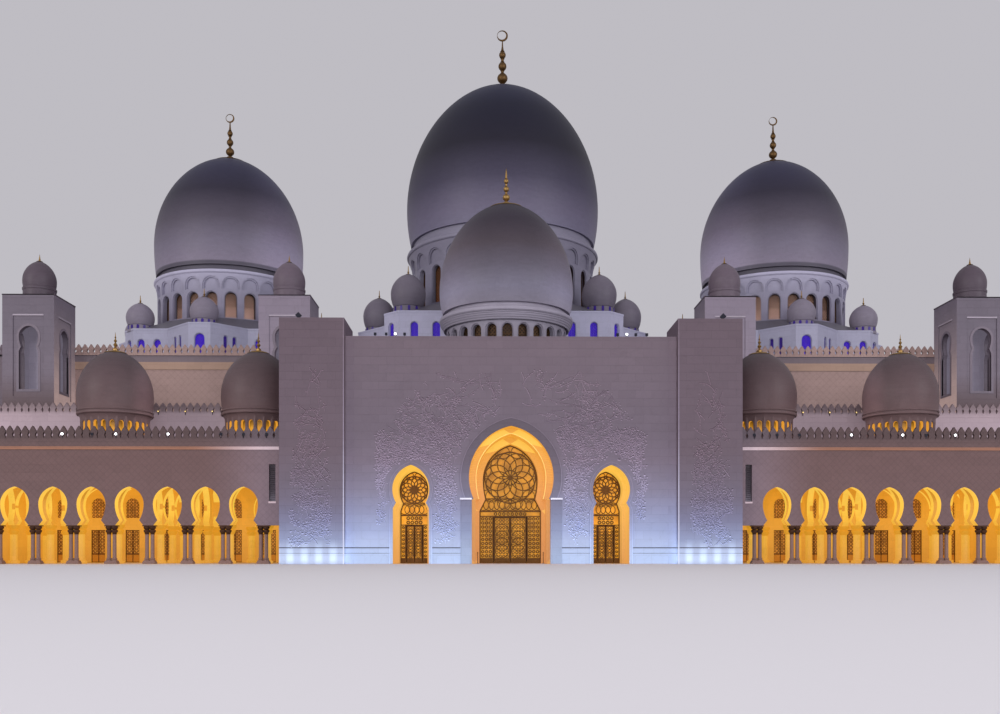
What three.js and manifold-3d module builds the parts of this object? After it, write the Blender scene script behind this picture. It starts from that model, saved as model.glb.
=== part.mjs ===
import * as THREE from "three";
import Module from "manifold-3d";
import { mergeVertices } from "three/addons/utils/BufferGeometryUtils.js";

// A white marble mosque with three great domes, a portal and two arcades, as a 1:10 model.
// Every length here is the real building's, in metres; the outer group turns it into the
// model's millimetres. X runs to the right, Y to the back and Z up, and the portal piers
// stand with their front faces on Y = 0.

const millimetresPerMetre = 100; // 1000 / 10
const seam = 0.003; // joint between neighbouring pieces, 0.3 mm on the model

const portal = {
  halfWidth: 24.98,
  pierInner: 18,
  depth: 6.98,
  pierHeight: 26.5,
  wallFront: 1,
  wallTop: 24.7,
  postTop: 5.9,
};
const mainArch = {
  x: 0,
  steps: [
    { front: 1, jamb: 4.3, impost: 7.1, pinchZ: 7.12, pinch: 4.12, bulgeZ: 9.4, bulge: 4.6, apex: 15 },
    { front: 2.4, jamb: 3.9, impost: 7.1, pinchZ: 7.12, pinch: 3.5, bulgeZ: 9.4, bulge: 3.8, apex: 14.3 },
    { front: 5, jamb: 3.5, impost: 5.95, pinchZ: 7.25, pinch: 2.85, bulgeZ: 9.4, bulge: 3.12, apex: 13.45 },
  ],
};
const sideArch = {
  x: 10.9,
  steps: [
    { front: 1, jamb: 1.95, impost: 6.05, pinchZ: 6.65, pinch: 1.62, bulgeZ: 8.1, bulge: 2.01, apex: 10.75 },
    { front: 4.4, jamb: 1.6, impost: 5.95, pinchZ: 6.8, pinch: 1.3, bulgeZ: 8.3, bulge: 1.7, apex: 10.45 },
  ],
};
const screen = { front: 6.3, thickness: 0.2 };
const mainDoor = { halfWidth: 1.9, head: 5.3 };
const sideDoor = { halfWidth: 0.94, head: 4.3 };
const leaf = { thickness: 0.1, hingeGap: 0.08, meetingGap: 0.03, topGap: 0.06, bottomGap: 0.06, pin: 0.03 };

const vestibule = { halfWidth: 24.4, wall: 1, top: 23.9 };
const arcade = {
  front: 1.48,
  wall: 1,
  firstPair: 27.05,
  bay: 4.126,
  bays: 7,
  capital: 4.2,
  bandTop: 9,
  top: 13.5,
  merlonTip: 15,
  merlonsPerBay: 5,
  endWall: 1.4,
  back: 14.1,
  roofThickness: 1,
};
const arcadeArch = {
  jamb: 1.5,
  impost: 4.2,
  pinchZ: 4.75,
  pinch: 1.08,
  bulgeZ: 6.5,
  bulge: 1.565,
  apex: 8.4,
};
const pair = { spread: 0.3, radius: 0.22, plinth: 0.35, block: 0.7 };
const arcadeDome = {
  bays: [0, 4],
  y: 8.6,
  radius: 4.4,
  drum: 3.9,
  drumTop: 17.4,
  widest: 19.3,
  apex: 24.5,
  tip: 26.8,
};
const terrace = { wall: 1, top: 18, merlonTip: 19.4, roofThickness: 1 };
const hall = {
  front: 25.6,
  porchFront: 15.103,
  back: 106.6,
  halfWidth: 67.2,
  wall: 1,
  top: 27.4,
  merlonTip: 28.8,
  roofThickness: 1,
};
const tower = {
  inner: 25.02,
  outer: 57.2,
  side: 6.5,
  wall: 0.8,
  top: 33.8,
  ceiling: 30.9,
  panelHalf: 1.92,
  panelDepth: 0.25,
  panelBase: 20.9,
  panelTop: 31.1,
  domeRadius: 2.25,
  domeBase: 35.2,
  apex: 39.3,
};
const towerNiche = {
  jamb: 1.21,
  impost: 26.6,
  pinchZ: 27.2,
  pinch: 0.95,
  bulgeZ: 28.5,
  bulge: 1.21,
  apex: 29.8,
  sill: 21.8,
};

const domeLine = 66.1; // Y of the three great domes' centres
const sideDomeX = 47.16;
const mainDome = { radius: 16.5, widest: 59.9, apex: 81.5, base: 53.7, sink: 22.6, finial: 10.4 };
const sideDome = { radius: 12.45, widest: 53.2, apex: 68.9, base: 47.7, sink: 24.5, finial: 8.2 };
const frontDome = { y: 30.5, radius: 9.2, widest: 36.9, apex: 49.1, base: 33.8, sink: 10.5, finial: 5.8 };
const shell = 0.5; // thickness of every dome shell
const mainDrum = {
  radius: 15.5,
  cornice: 16.5,
  corniceZ: 52,
  sill: 41.9,
  windowTop: 47.9,
  windowHalf: 0.95,
};
const sideDrum = {
  radius: 11.9,
  cornice: 12.5,
  corniceZ: 46.8,
  sill: 39.2,
  windowTop: 43.3,
  windowHalf: 0.95,
};
const frontDrum = {
  radius: 8.2,
  cornice: 9.2,
  corniceZ: 33.1,
  sill: 28.6,
  windowTop: 31.5,
  windowHalf: 0.72,
};
const drumWall = 0.8;
const drumSides = 24; // one window in each
const mainPodium = {
  half: 18.8,
  chamfer: 2.33,
  bayFoot: 8.8,
  bayHalf: 3,
  bayFace: 24.6,
  top: 38.6,
  wall: 0.9,
  cornerDome: 15.14,
  bayDome: 21.35,
  windows: [10.5, 13.9],
  windowHalf: 0.55,
  windowSill: 31,
  windowTop: 36.9,
  skirt: 18.2,
  rise: 3,
};
const sidePodium = {
  half: 13.8,
  chamfer: 2,
  bayFoot: 6.35,
  bayHalf: 1.7,
  bayFace: 18.45,
  top: 36.8,
  wall: 0.9,
  cornerDome: 11.49,
  bayDome: 15.8,
  windows: [8.03, 10.6],
  windowHalf: 0.45,
  windowSill: 30.5,
  windowTop: 35.4,
  skirt: 13.4,
  rise: 2.2,
};
const mainTurretDome = { radius: 2.87, neck: 2.6, widest: 41.4, apex: 45.3 };
const sideTurretDome = { radius: 2.33, neck: 2.1, widest: 39, apex: 41.65 };

const marble = { color: 0xcfc9d6, roughness: 0.5, metalness: 0 };
const gold = { color: 0xb8862f, roughness: 0.35, metalness: 0.9 };
const bronzeGlass = { color: 0xc98a2c, roughness: 0.3, metalness: 0.3 };

const wasm = await Module();
wasm.setup();

// Closed geometry to a solid and back
function toSolid(geometry) {
  const bare = geometry.index ? geometry.toNonIndexed() : geometry.clone();
  bare.deleteAttribute("normal");
  bare.deleteAttribute("uv");
  const merged = mergeVertices(bare);
  const corners = merged.index.array;
  const kept = [];
  for (let i = 0; i < corners.length; i += 3) {
    const [a, b, c] = corners.slice(i, i + 3);
    if (a !== b && b !== c && c !== a) kept.push(a, b, c);
  }
  const mesh = new wasm.Mesh({
    numProp: 3,
    vertProperties: merged.attributes.position.array,
    triVerts: new Uint32Array(kept),
  });
  return new wasm.Manifold(mesh);
}

function toGeometry(solid) {
  const mesh = solid.getMesh();
  const geometry = new THREE.BufferGeometry();
  geometry.setAttribute("position", new THREE.BufferAttribute(mesh.vertProperties, 3));
  geometry.setIndex(new THREE.BufferAttribute(mesh.triVerts, 1));
  geometry.computeVertexNormals();
  return geometry;
}

const join = (pieces) => pieces.map(toSolid).reduce((whole, piece) => whole.add(piece));
const cutFrom = (solid, tools) => tools.reduce((rest, tool) => rest.subtract(toSolid(tool)), solid);

// Basic shapes, each placed in the building's frame
function block(x0, x1, y0, y1, z0, z1) {
  const geometry = new THREE.BoxGeometry(Math.abs(x1 - x0), y1 - y0, z1 - z0);
  return geometry.translate((x0 + x1) / 2, (y0 + y1) / 2, (z0 + z1) / 2);
}

// An elevation drawn in X and Z, given a thickness from y0 to y1
function elevation(shape, y0, y1) {
  const geometry = new THREE.ExtrudeGeometry(shape, { depth: y1 - y0, bevelEnabled: false });
  return geometry.rotateX(Math.PI / 2).translate(0, y1, 0);
}

// A plan drawn in X and Y, given a height from z0 to z1
function plan(shape, z0, z1) {
  const geometry = new THREE.ExtrudeGeometry(shape, { depth: z1 - z0, bevelEnabled: false });
  return geometry.translate(0, 0, z0);
}

// A profile of [radius, height] pairs from axis to axis, turned about the vertical at x, y
function turned(profile, sides, x, y) {
  const points = profile.map(([r, z]) => new THREE.Vector2(r, z));
  const half = Math.PI / sides;
  const geometry = new THREE.LatheGeometry(points, sides, half, 2 * Math.PI);
  return geometry.rotateX(Math.PI / 2).translate(x, y, 0);
}

const outline = (points) => new THREE.Shape(points.map(([x, z]) => new THREE.Vector2(x, z)));

// Points on the arc that leaves (x0, z0) upright and ends at (x1, z1)
function uprightArc(x0, z0, x1, z1, steps) {
  const dx = x0 - x1;
  const dz = z1 - z0;
  const radius = (dx * dx + dz * dz) / (2 * dx);
  const end = Math.asin(Math.abs(dz) / radius);
  const points = [];
  for (let i = 1; i <= steps; i++) {
    const t = (end * i) / steps;
    points.push([x0 - radius * (1 - Math.cos(t)), z0 + Math.sign(dz) * radius * Math.sin(t)]);
  }
  return points;
}

// The right half of a pointed horseshoe arch, from its foot to its apex
function archHalf(arch, foot, lowSteps, highSteps) {
  const low = uprightArc(arch.bulge, arch.bulgeZ, arch.pinch, arch.pinchZ, lowSteps).reverse();
  const high = uprightArc(arch.bulge, arch.bulgeZ, 0, arch.apex, highSteps);
  return [[arch.jamb, foot], [arch.jamb, arch.impost], ...low, [arch.bulge, arch.bulgeZ], ...high];
}

function archShape(arch, x, foot, lowSteps = 2, highSteps = 5) {
  const right = archHalf(arch, foot, lowSteps, highSteps);
  const left = right.slice(0, -1).reverse().map(([px, pz]) => [-px, pz]);
  return outline([...right, ...left].map(([px, pz]) => [px + x, pz]));
}

// A tall window outline with a pointed head
function windowShape(half, sill, top) {
  const shoulder = top - half * 1.3;
  return outline([[-half, sill], [half, sill], [half, shoulder], [0, top], [-half, shoulder]]);
}

// A row of pointed merlons along X, standing on base, as an outline with a straight foot
function merlonRow(x0, x1, foot, base, tip, count) {
  const pitch = (x1 - x0) / count;
  const points = [[x0, foot], [x1, foot]];
  for (let i = count; i > 0; i--) {
    points.push([x0 + pitch * i, base]);
    points.push([x0 + pitch * (i - 0.5), tip]);
  }
  points.push([x0, base]);
  return outline(points);
}

// Dome radius at a height: full at its widest ring, and drawn to a point above it
function domeRadiusAt(dome, z) {
  const reach = z < dome.widest ? dome.sink : dome.apex - dome.widest;
  const share = (z - dome.widest) / reach;
  return dome.radius * Math.max(0, 1 - share * share) ** 0.55;
}

// Heights of a dome's rings, from its base over its widest ring to its apex
function domeHeights(dome, rings) {
  const rise = dome.apex - dome.widest;
  const upper = (i) => dome.widest + rise * Math.sin((Math.PI / 2) * (i / rings));
  return [dome.base, ...Array.from({ length: rings + 1 }, (_, i) => upper(i))];
}

const building = new THREE.Group();

function addMesh(name, shape, finish) {
  const geometry = shape.isBufferGeometry ? shape : toGeometry(shape);
  const mesh = new THREE.Mesh(geometry, new THREE.MeshStandardMaterial(finish));
  mesh.name = name;
  building.add(mesh);
}

const sides = [
  { name: "left", sign: -1 },
  { name: "right", sign: 1 },
];

// Gives the two ends of a stretch of X on either side in rising order
const stretch = (sign, from, to) => (sign < 0 ? [-to, -from] : [from, to]);

// Portal: two square piers, four posts between the arches and the wall over them

function stepEdges(arch, edge) {
  const ends = arch.steps.map((step, i) => (arch.steps[i + 1] ?? { front: portal.depth }).front);
  return arch.steps.flatMap((step, i) => [[edge(step), step.front], [edge(step), ends[i]]]);
}

function addPortalPosts({ name, sign }) {
  const outer = stepEdges(sideArch, (step) => sideArch.x + step.jamb);
  const pierSide = portal.pierInner - seam;
  const outerPlan = [[pierSide, portal.depth], [pierSide, portal.wallFront], ...outer];
  const inner = stepEdges(sideArch, (step) => sideArch.x - step.jamb).reverse();
  const innerPlan = [...stepEdges(mainArch, (step) => step.jamb), ...inner];
  const flip = (points) => outline(points.map(([x, y]) => [x * sign, y]));
  addMesh(`portal_post_outer_${name}`, plan(flip(outerPlan), 0, portal.postTop - seam), marble);
  addMesh(`portal_post_inner_${name}`, plan(flip(innerPlan), 0, portal.postTop - seam), marble);
}

function archCuts(arch, x, foot) {
  return arch.steps.map((step, i) => {
    const end = arch.steps[i + 1] ? arch.steps[i + 1].front + 0.5 : portal.depth + 1;
    const start = i === 0 ? step.front - 1 : step.front;
    return elevation(archShape(step, x, foot), start, end);
  });
}

function addPortal() {
  for (const side of sides) {
    const [x0, x1] = stretch(side.sign, portal.pierInner, portal.halfWidth);
    addMesh(`portal_pier_${side.name}`, block(x0, x1, 0, portal.depth, 0, portal.pierHeight), marble);
    addPortalPosts(side);
  }
  const reach = portal.pierInner - seam;
  const wall = block(-reach, reach, portal.wallFront, portal.depth, portal.postTop, portal.wallTop);
  const foot = portal.postTop - 1;
  const cuts = [-sideArch.x, sideArch.x].flatMap((x) => archCuts(sideArch, x, foot));
  addMesh("portal_upper_wall", cutFrom(toSolid(wall), [...archCuts(mainArch, 0, foot), ...cuts]), marble);
}

// Screens of gilded lattice and glass in the arches, each with a pair of doors

function shrink(step, by) {
  return {
    ...step,
    jamb: step.jamb - by,
    pinch: step.pinch - by,
    bulge: step.bulge - by,
    apex: step.apex - by,
  };
}

function addScreen(name, arch, x, door) {
  const opening = shrink(arch.steps[arch.steps.length - 1], seam);
  const sheet = elevation(archShape(opening, x, 0), screen.front, screen.front + screen.thickness);
  const doorway = block(
    x - door.halfWidth,
    x + door.halfWidth,
    screen.front - 1,
    screen.front + 1,
    -1,
    door.head,
  );
  addMesh(name, cutFrom(toSolid(sheet), [doorway]), bronzeGlass);
}

function addLeaf(name, x, door, sign) {
  const middle = screen.front + screen.thickness / 2;
  const [x0, x1] = stretch(sign, leaf.meetingGap, door.halfWidth - leaf.hingeGap);
  const top = door.head - leaf.topGap;
  const y0 = middle - leaf.thickness / 2;
  const panel = block(x + x0, x + x1, y0, y0 + leaf.thickness, leaf.bottomGap, top);
  const hingeX = x + sign * (door.halfWidth - leaf.hingeGap - leaf.thickness / 2);
  const pinHeight = leaf.topGap + leaf.pin - seam;
  const pin = new THREE.CylinderGeometry(leaf.pin, leaf.pin, pinHeight, 8).rotateX(Math.PI / 2);
  pin.translate(hingeX, middle, door.head - seam - pinHeight / 2);
  addMesh(name, join([panel, pin]), bronzeGlass);
}

function addScreensAndDoors() {
  addScreen("main_screen", mainArch, 0, mainDoor);
  for (const { name, sign } of sides) {
    addLeaf(`main_door_${name}`, 0, mainDoor, sign);
    const x = sign * sideArch.x;
    addScreen(`side_screen_${name}`, sideArch, x, sideDoor);
    addLeaf(`side_door_${name}_a`, x, sideDoor, -1);
    addLeaf(`side_door_${name}_b`, x, sideDoor, 1);
  }
}

// Vestibule behind the portal, open to the hall
function addVestibule() {
  const half = vestibule.halfWidth;
  const y0 = portal.depth + seam;
  const y1 = hall.porchFront - seam;
  const outer = block(-half, half, y0, y1, 0, vestibule.top);
  const inside = half - vestibule.wall;
  const room = block(-inside, inside, y0 - 1, y1 + 1, -1, vestibule.top - vestibule.wall);
  addMesh("vestibule", cutFrom(toSolid(outer), [room]), marble);
}

// Arcades: columns in pairs, horseshoe arches, a wall with merlons, a roof and two domes a side

const pairX = (index) => arcade.firstPair + index * arcade.bay;
const arcadeEnd = pairX(arcade.bays) + arcade.endWall;

function columnPair(x, sign) {
  const y = arcade.front + arcade.wall / 2;
  const foot = block(x - pair.block, x + pair.block, y - 0.45, y + 0.45, 0, pair.plinth);
  const height = arcade.capital - pair.plinth + 0.2;
  const shafts = [-pair.spread, pair.spread].map((offset) => {
    const shaft = new THREE.CylinderGeometry(pair.radius, pair.radius, height, 6);
    return shaft.rotateX(Math.PI / 2).translate(x + offset * sign, y, pair.plinth - 0.1 + height / 2);
  });
  return [foot, ...shafts];
}

function addArcadeFront({ name, sign }) {
  const y0 = arcade.front;
  const y1 = arcade.front + arcade.wall;
  const start = portal.halfWidth + seam;
  const [b0, b1] = stretch(sign, start, arcadeEnd);
  const band = block(b0, b1, y0, y1, arcade.capital, arcade.bandTop - seam);
  const pieces = [band];
  const cuts = [];
  for (let i = 0; i < arcade.bays; i++) {
    pieces.push(...columnPair(sign * pairX(i), sign));
    const centre = sign * (pairX(i) + arcade.bay / 2);
    cuts.push(elevation(archShape(arcadeArch, centre, arcade.capital - 1, 1, 3), y0 - 1, y1 + 1));
  }
  const [e0, e1] = stretch(sign, pairX(arcade.bays) - 0.6, arcadeEnd);
  const solid = cutFrom(join(pieces), []);
  const endPier = toSolid(block(e0, e1, y0, y1, 0, arcade.capital + 0.5));
  addMesh(`arcade_arches_${name}`, cutFrom(solid.subtract(join(cuts)).add(endPier), []), marble);
  const merlons = Math.round((arcadeEnd - start) / (arcade.bay / arcade.merlonsPerBay));
  const upper = merlonRow(b0, b1, arcade.bandTop, arcade.top, arcade.merlonTip, merlons);
  addMesh(`arcade_upper_wall_${name}`, elevation(upper, y0, y1), marble);
}

function addArcadeRoof({ name, sign }) {
  const y0 = arcade.front + arcade.wall + seam;
  const y1 = arcade.back - seam;
  const [x0, x1] = stretch(sign, portal.halfWidth + seam, arcadeEnd);
  const ceiling = arcade.top - arcade.roofThickness;
  const [s0, s1] = stretch(sign, vestibule.halfWidth + seam, portal.halfWidth + 1);
  const pieces = [
    block(x0, x1, y0, y1, ceiling, arcade.top),
    block(s0, s1, portal.depth + seam, y1, ceiling, arcade.top),
  ];
  const bayDepth = (y1 - arcade.front) / 3;
  for (const row of [1, 2]) {
    const y = arcade.front + bayDepth * row;
    pieces.push(block(x0, x1, y - 0.45, y + 0.45, arcadeArch.apex + 0.2, ceiling + 0.2));
    for (let i = 0; i < arcade.bays; i++) {
      const x = sign * pairX(i);
      pieces.push(block(x - 0.5, x + 0.5, y - 0.5, y + 0.5, 0, ceiling + 0.1));
    }
  }
  const [e0, e1] = stretch(sign, arcadeEnd - arcade.endWall, arcadeEnd);
  pieces.push(block(e0, e1, y0, y1, 0, ceiling + 0.1));
  addMesh(`arcade_roof_${name}`, join(pieces), marble);
}

function addArcadeDomes({ name, sign }) {
  arcadeDome.bays.forEach((bay, i) => {
    const x = sign * (pairX(bay) + arcade.bay / 2);
    const base = arcade.top + seam;
    const ring = [
      [arcadeDome.drum, base],
      [arcadeDome.drum, arcadeDome.drumTop],
      [arcadeDome.radius, arcadeDome.widest],
      [arcadeDome.radius * 0.82, arcadeDome.widest + 3],
      [arcadeDome.radius * 0.3, arcadeDome.apex - 0.4],
    ];
    const spike = [[0.3, arcadeDome.apex], [0.12, arcadeDome.apex + 1.2], [0, arcadeDome.tip]];
    const outer = [[0, base], ...ring, ...spike];
    const inner = ring.map(([r, z]) => [r - shell, z - shell * 0.5]);
    inner[0][1] = base - 1;
    const room = [[0, base - 1], ...inner, [0, arcadeDome.apex - shell]];
    const body = toSolid(turned(outer, 14, x, arcadeDome.y));
    const dome = cutFrom(body, [turned(room, 14, x, arcadeDome.y)]);
    addMesh(`arcade_dome_${name}_${i + 1}`, dome, marble);
  });
}

// Terrace behind the arcades: the wall that backs them, and the roof the towers stand on

function addTerrace({ name, sign }) {
  const y0 = arcade.back;
  const y1 = arcade.back + terrace.wall;
  const [x0, x1] = stretch(sign, vestibule.halfWidth + seam, hall.halfWidth);
  const merlons = Math.round((x1 - x0) / (arcade.bay / arcade.merlonsPerBay));
  const wall = elevation(merlonRow(x0, x1, 0, terrace.top, terrace.merlonTip, merlons), y0, y1);
  const cuts = [];
  for (let i = 0; i < arcade.bays; i++) {
    const x = sign * (pairX(i) + arcade.bay / 2);
    cuts.push(block(x - 1.1, x + 1.1, y0 - 1, y1 + 1, -1, 3.6));
    cuts.push(elevation(windowShape(1.1, 5, 7.4), y0 - 1, y1 + 1).translate(x, 0, 0));
  }
  addMesh(`terrace_wall_${name}`, cutFrom(toSolid(wall), cuts), marble);
  const [r0, r1] = stretch(sign, portal.halfWidth + seam, hall.halfWidth - hall.wall - seam);
  const roof = block(r0, r1, y1 + seam, hall.front - seam, terrace.top - terrace.roofThickness, terrace.top);
  addMesh(`terrace_roof_${name}`, roof, marble);
}

// Hall: outer walls and a roof with an opening under each dome

function addHall() {
  const inside = portal.halfWidth - hall.wall;
  const y1 = hall.front + hall.wall;
  const porch = toSolid(block(-portal.halfWidth, portal.halfWidth, hall.porchFront, y1, 0, hall.top));
  const room = block(-inside, inside, hall.porchFront + hall.wall, y1 + 1, -1, hall.top + 1);
  const way = block(-inside, inside, hall.porchFront - 1, y1, -1, vestibule.top - vestibule.wall);
  addMesh("hall_front_wall_centre", cutFrom(porch, [room, way]), marble);
  for (const { name, sign } of sides) {
    const [x0, x1] = stretch(sign, portal.halfWidth + seam, hall.halfWidth - hall.wall - seam);
    const count = Math.round((x1 - x0) / (arcade.bay / arcade.merlonsPerBay));
    const row = merlonRow(x0, x1, 0, hall.top, hall.merlonTip, count);
    addMesh(`hall_front_wall_${name}`, elevation(row, hall.front, y1), marble);
    const edge = [
      [arcade.back + terrace.wall + seam, 0],
      [hall.back, 0],
      [hall.back, hall.merlonTip],
      [hall.front, hall.merlonTip],
      [hall.front, terrace.merlonTip],
      [arcade.back + terrace.wall + seam, terrace.merlonTip],
    ];
    const [w0, w1] = stretch(sign, hall.halfWidth - hall.wall, hall.halfWidth);
    const wall = new THREE.ExtrudeGeometry(outline(edge), { depth: w1 - w0, bevelEnabled: false });
    const turn = new THREE.Matrix4().makeBasis(
      new THREE.Vector3(0, 1, 0),
      new THREE.Vector3(0, 0, 1),
      new THREE.Vector3(1, 0, 0),
    );
    addMesh(`hall_side_wall_${name}`, wall.applyMatrix4(turn).translate(w0, 0, 0), marble);
  }
  const reach = hall.halfWidth - hall.wall - seam;
  const back = block(-reach, reach, hall.back - hall.wall, hall.back, 0, hall.merlonTip);
  addMesh("hall_back_wall", back, marble);
  addHallRoof(reach);
}

function addHallRoof(reach) {
  const y0 = hall.front + hall.wall + seam;
  const porch = portal.halfWidth - hall.wall - seam;
  const roof = outline([
    [-reach, y0],
    [-porch, y0],
    [-porch, hall.porchFront + hall.wall + seam],
    [porch, hall.porchFront + hall.wall + seam],
    [porch, y0],
    [reach, y0],
    [reach, hall.back - hall.wall - seam],
    [-reach, hall.back - hall.wall - seam],
  ]);
  const square = (x, y, half) => {
    const corners = [[x - half, y - half], [x - half, y + half], [x + half, y + half], [x + half, y - half]];
    roof.holes.push(new THREE.Path(corners.map(([px, py]) => new THREE.Vector2(px, py))));
  };
  square(0, domeLine, 14);
  square(-sideDomeX, domeLine, 11);
  square(sideDomeX, domeLine, 11);
  square(0, frontDome.y, 5.4);
  addMesh("hall_roof", plan(roof, hall.top - hall.roofThickness, hall.top - seam), marble);
}

// Towers on the terrace, each with a keyhole niche in every face and a small dome

// A small dome on its neck
function smallDome(dome, base, segments, x, y) {
  const rise = dome.apex - dome.widest;
  const profile = [
    [0, base],
    [dome.neck, base],
    [dome.radius, dome.widest],
    [dome.radius * 0.72, dome.widest + rise * 0.66],
    [0, dome.apex],
  ];
  return turned(profile, segments, x, y);
}

function addTower(name, x) {
  const half = tower.side / 2;
  const y = hall.front - seam - half;
  const body = toSolid(block(x - half, x + half, y - half, y + half, terrace.top + seam, tower.top));
  const room = half - tower.wall;
  const cuts = [block(x - room, x + room, y - room, y + room, terrace.top - 1, tower.ceiling)];
  for (const turn of [0, 1, 2, 3]) {
    const angle = (turn * Math.PI) / 2;
    const panelShape = outline([
      [-tower.panelHalf, tower.panelBase],
      [tower.panelHalf, tower.panelBase],
      [tower.panelHalf, tower.panelTop],
      [-tower.panelHalf, tower.panelTop],
    ]);
    const panel = elevation(panelShape, -half - 1, -half + tower.panelDepth);
    const niche = elevation(archShape(towerNiche, 0, towerNiche.sill, 1, 2), -half - 1, -room + 0.5);
    for (const piece of [panel, niche]) cuts.push(piece.rotateZ(angle).translate(x, y, 0));
  }
  const dome = {
    radius: tower.domeRadius,
    neck: tower.domeRadius * 0.9,
    widest: tower.domeBase + 1.2,
    apex: tower.apex,
  };
  const cap = toSolid(smallDome(dome, tower.top - 0.5, 10, x, y));
  addMesh(name, cutFrom(body, cuts).add(cap), marble);
}

// Podiums under the great domes, with small domes on their turrets

const turnAbout = ([px, py], angle) => [
  px * Math.cos(angle) - py * Math.sin(angle),
  px * Math.sin(angle) + py * Math.cos(angle),
];

function windowTools(shape, reachFrom, reachTo, angles, x, y) {
  return angles.map((angle) => elevation(shape, -reachTo, -reachFrom).rotateZ(angle).translate(x, y, 0));
}

// A roof that slopes up from a podium's edge to its drum
function skirt(drumRadius, outer, z, rise, x, y) {
  const inner = drumRadius / Math.cos(Math.PI / drumSides) + 0.02;
  const full = [[0, z - 0.4], [outer, z - 0.4], [outer, z], [inner, z + rise], [0, z + rise]];
  const hole = [[0, z - 1.5], [inner, z - 1.5], [inner, z + rise + 1], [0, z + rise + 1]];
  return toSolid(turned(full, drumSides, x, y)).subtract(toSolid(turned(hole, drumSides, x, y)));
}

function podiumShell(points, x, y, wall, top) {
  const base = hall.top;
  const shape = outline(points);
  const radius = Math.min(...points.map(([px, py]) => Math.hypot(px, py)));
  const inner = outline(points.map(([px, py]) => [px * (1 - wall / radius), py * (1 - wall / radius)]));
  const outerSolid = toSolid(plan(shape, base, top));
  return outerSolid.subtract(toSolid(plan(inner, base - 1, top - wall))).translate(x, y, 0);
}

function drumHole(drum, top, x, y) {
  const r = drum.radius - drumWall;
  return turned([[0, top - 3], [r, top - 3], [r, top + 3], [0, top + 3]], drumSides, x, y);
}

// The plan of a podium: a square with cut corners and a splayed bay on each side
function podiumCorners({ half, chamfer, bayFoot, bayHalf, bayFace }) {
  const near = half - chamfer;
  const quarter = [
    [-near, -half],
    [-bayFoot, -half],
    [-bayHalf, -bayFace],
    [bayHalf, -bayFace],
    [bayFoot, -half],
    [near, -half],
  ];
  return [0, 1, 2, 3].flatMap((i) => quarter.map((corner) => turnAbout(corner, (i * Math.PI) / 2)));
}

function addPodium(name, podium, turretDome, drum, x) {
  const { top, wall, windowSill, windowTop } = podium;
  let solid = podiumShell(podiumCorners(podium), x, domeLine, wall, top);
  const cuts = [];
  const wide = windowShape(0.8, windowSill, windowTop);
  const narrow = windowShape(podium.windowHalf, windowSill, windowTop);
  const corner = (2 * podium.half - podium.chamfer) / Math.SQRT2;
  for (let i = 0; i < 4; i++) {
    const angle = (i * Math.PI) / 2;
    const [bx, by] = turnAbout([0, -podium.bayDome], angle);
    const [cx, cy] = turnAbout([podium.cornerDome, -podium.cornerDome], angle);
    solid = solid.add(toSolid(smallDome(turretDome, top - 0.3, 7, x + bx, domeLine + by)));
    solid = solid.add(toSolid(smallDome(turretDome, top - 0.3, 7, x + cx, domeLine + cy)));
    cuts.push(elevation(wide, -podium.bayFace - 1, -podium.bayFace + 2 * wall).rotateZ(angle));
    cuts.push(elevation(narrow, -corner - 1, -corner + 2 * wall).rotateZ(angle + Math.PI / 4));
    for (const shift of podium.windows.flatMap((offset) => [-offset, offset])) {
      const tool = elevation(narrow, -podium.half - 1, -podium.half + 2 * wall).translate(shift, 0, 0);
      cuts.push(tool.rotateZ(angle));
    }
  }
  for (const cut of cuts) cut.translate(x, domeLine, 0);
  solid = cutFrom(solid, [...cuts, drumHole(drum, top, x, domeLine)]);
  solid = solid.add(skirt(drum.radius, podium.skirt, top, podium.rise, x, domeLine));
  addMesh(`${name}_podium`, solid, marble);
}

// Drums with a window in each of their sides, a cornice and a groove below the dome

function addDrum(name, drum, dome, x, y, base) {
  const top = dome.base - seam;
  const neck = domeRadiusAt(dome, dome.base) - 0.35;
  const round = 1 / Math.cos(Math.PI / drumSides);
  const profile = [
    [0, base],
    [drum.radius * round, base],
    [drum.radius * round, drum.corniceZ - 1.6],
    [drum.cornice * round, drum.corniceZ],
    [neck * round, top - 0.5],
    [neck * round, top],
    [0, top],
  ];
  const room = drum.radius - drumWall;
  const hollow = turned([[0, base - 1], [room, base - 1], [room, top + 1], [0, top + 1]], drumSides, x, y);
  const angles = Array.from({ length: drumSides }, (_, i) => (i * 2 * Math.PI) / drumSides);
  const shape = windowShape(drum.windowHalf, drum.sill, drum.windowTop);
  const windows = windowTools(shape, room - 1, drum.radius + 2, angles, x, y);
  addMesh(name, cutFrom(toSolid(turned(profile, drumSides, x, y)), [hollow, ...windows]), marble);
}

function addDome(name, dome, x, y, rings) {
  const outer = domeHeights(dome, rings).map((z) => [domeRadiusAt(dome, z), z]);
  outer[outer.length - 1][0] = 0;
  const below = dome.base - 1;
  const inner = domeHeights(dome, 5).map((z) => {
    const share = (z - dome.base) / (dome.apex - dome.base);
    return [Math.max(0, domeRadiusAt(dome, z) - shell), z - shell * share];
  });
  const room = turned([[0, below], [inner[0][0], below], ...inner], drumSides / 2, x, y);
  addMesh(name, cutFrom(toSolid(turned([[0, dome.base], ...outer], drumSides, x, y)), [room]), marble);
}

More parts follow.
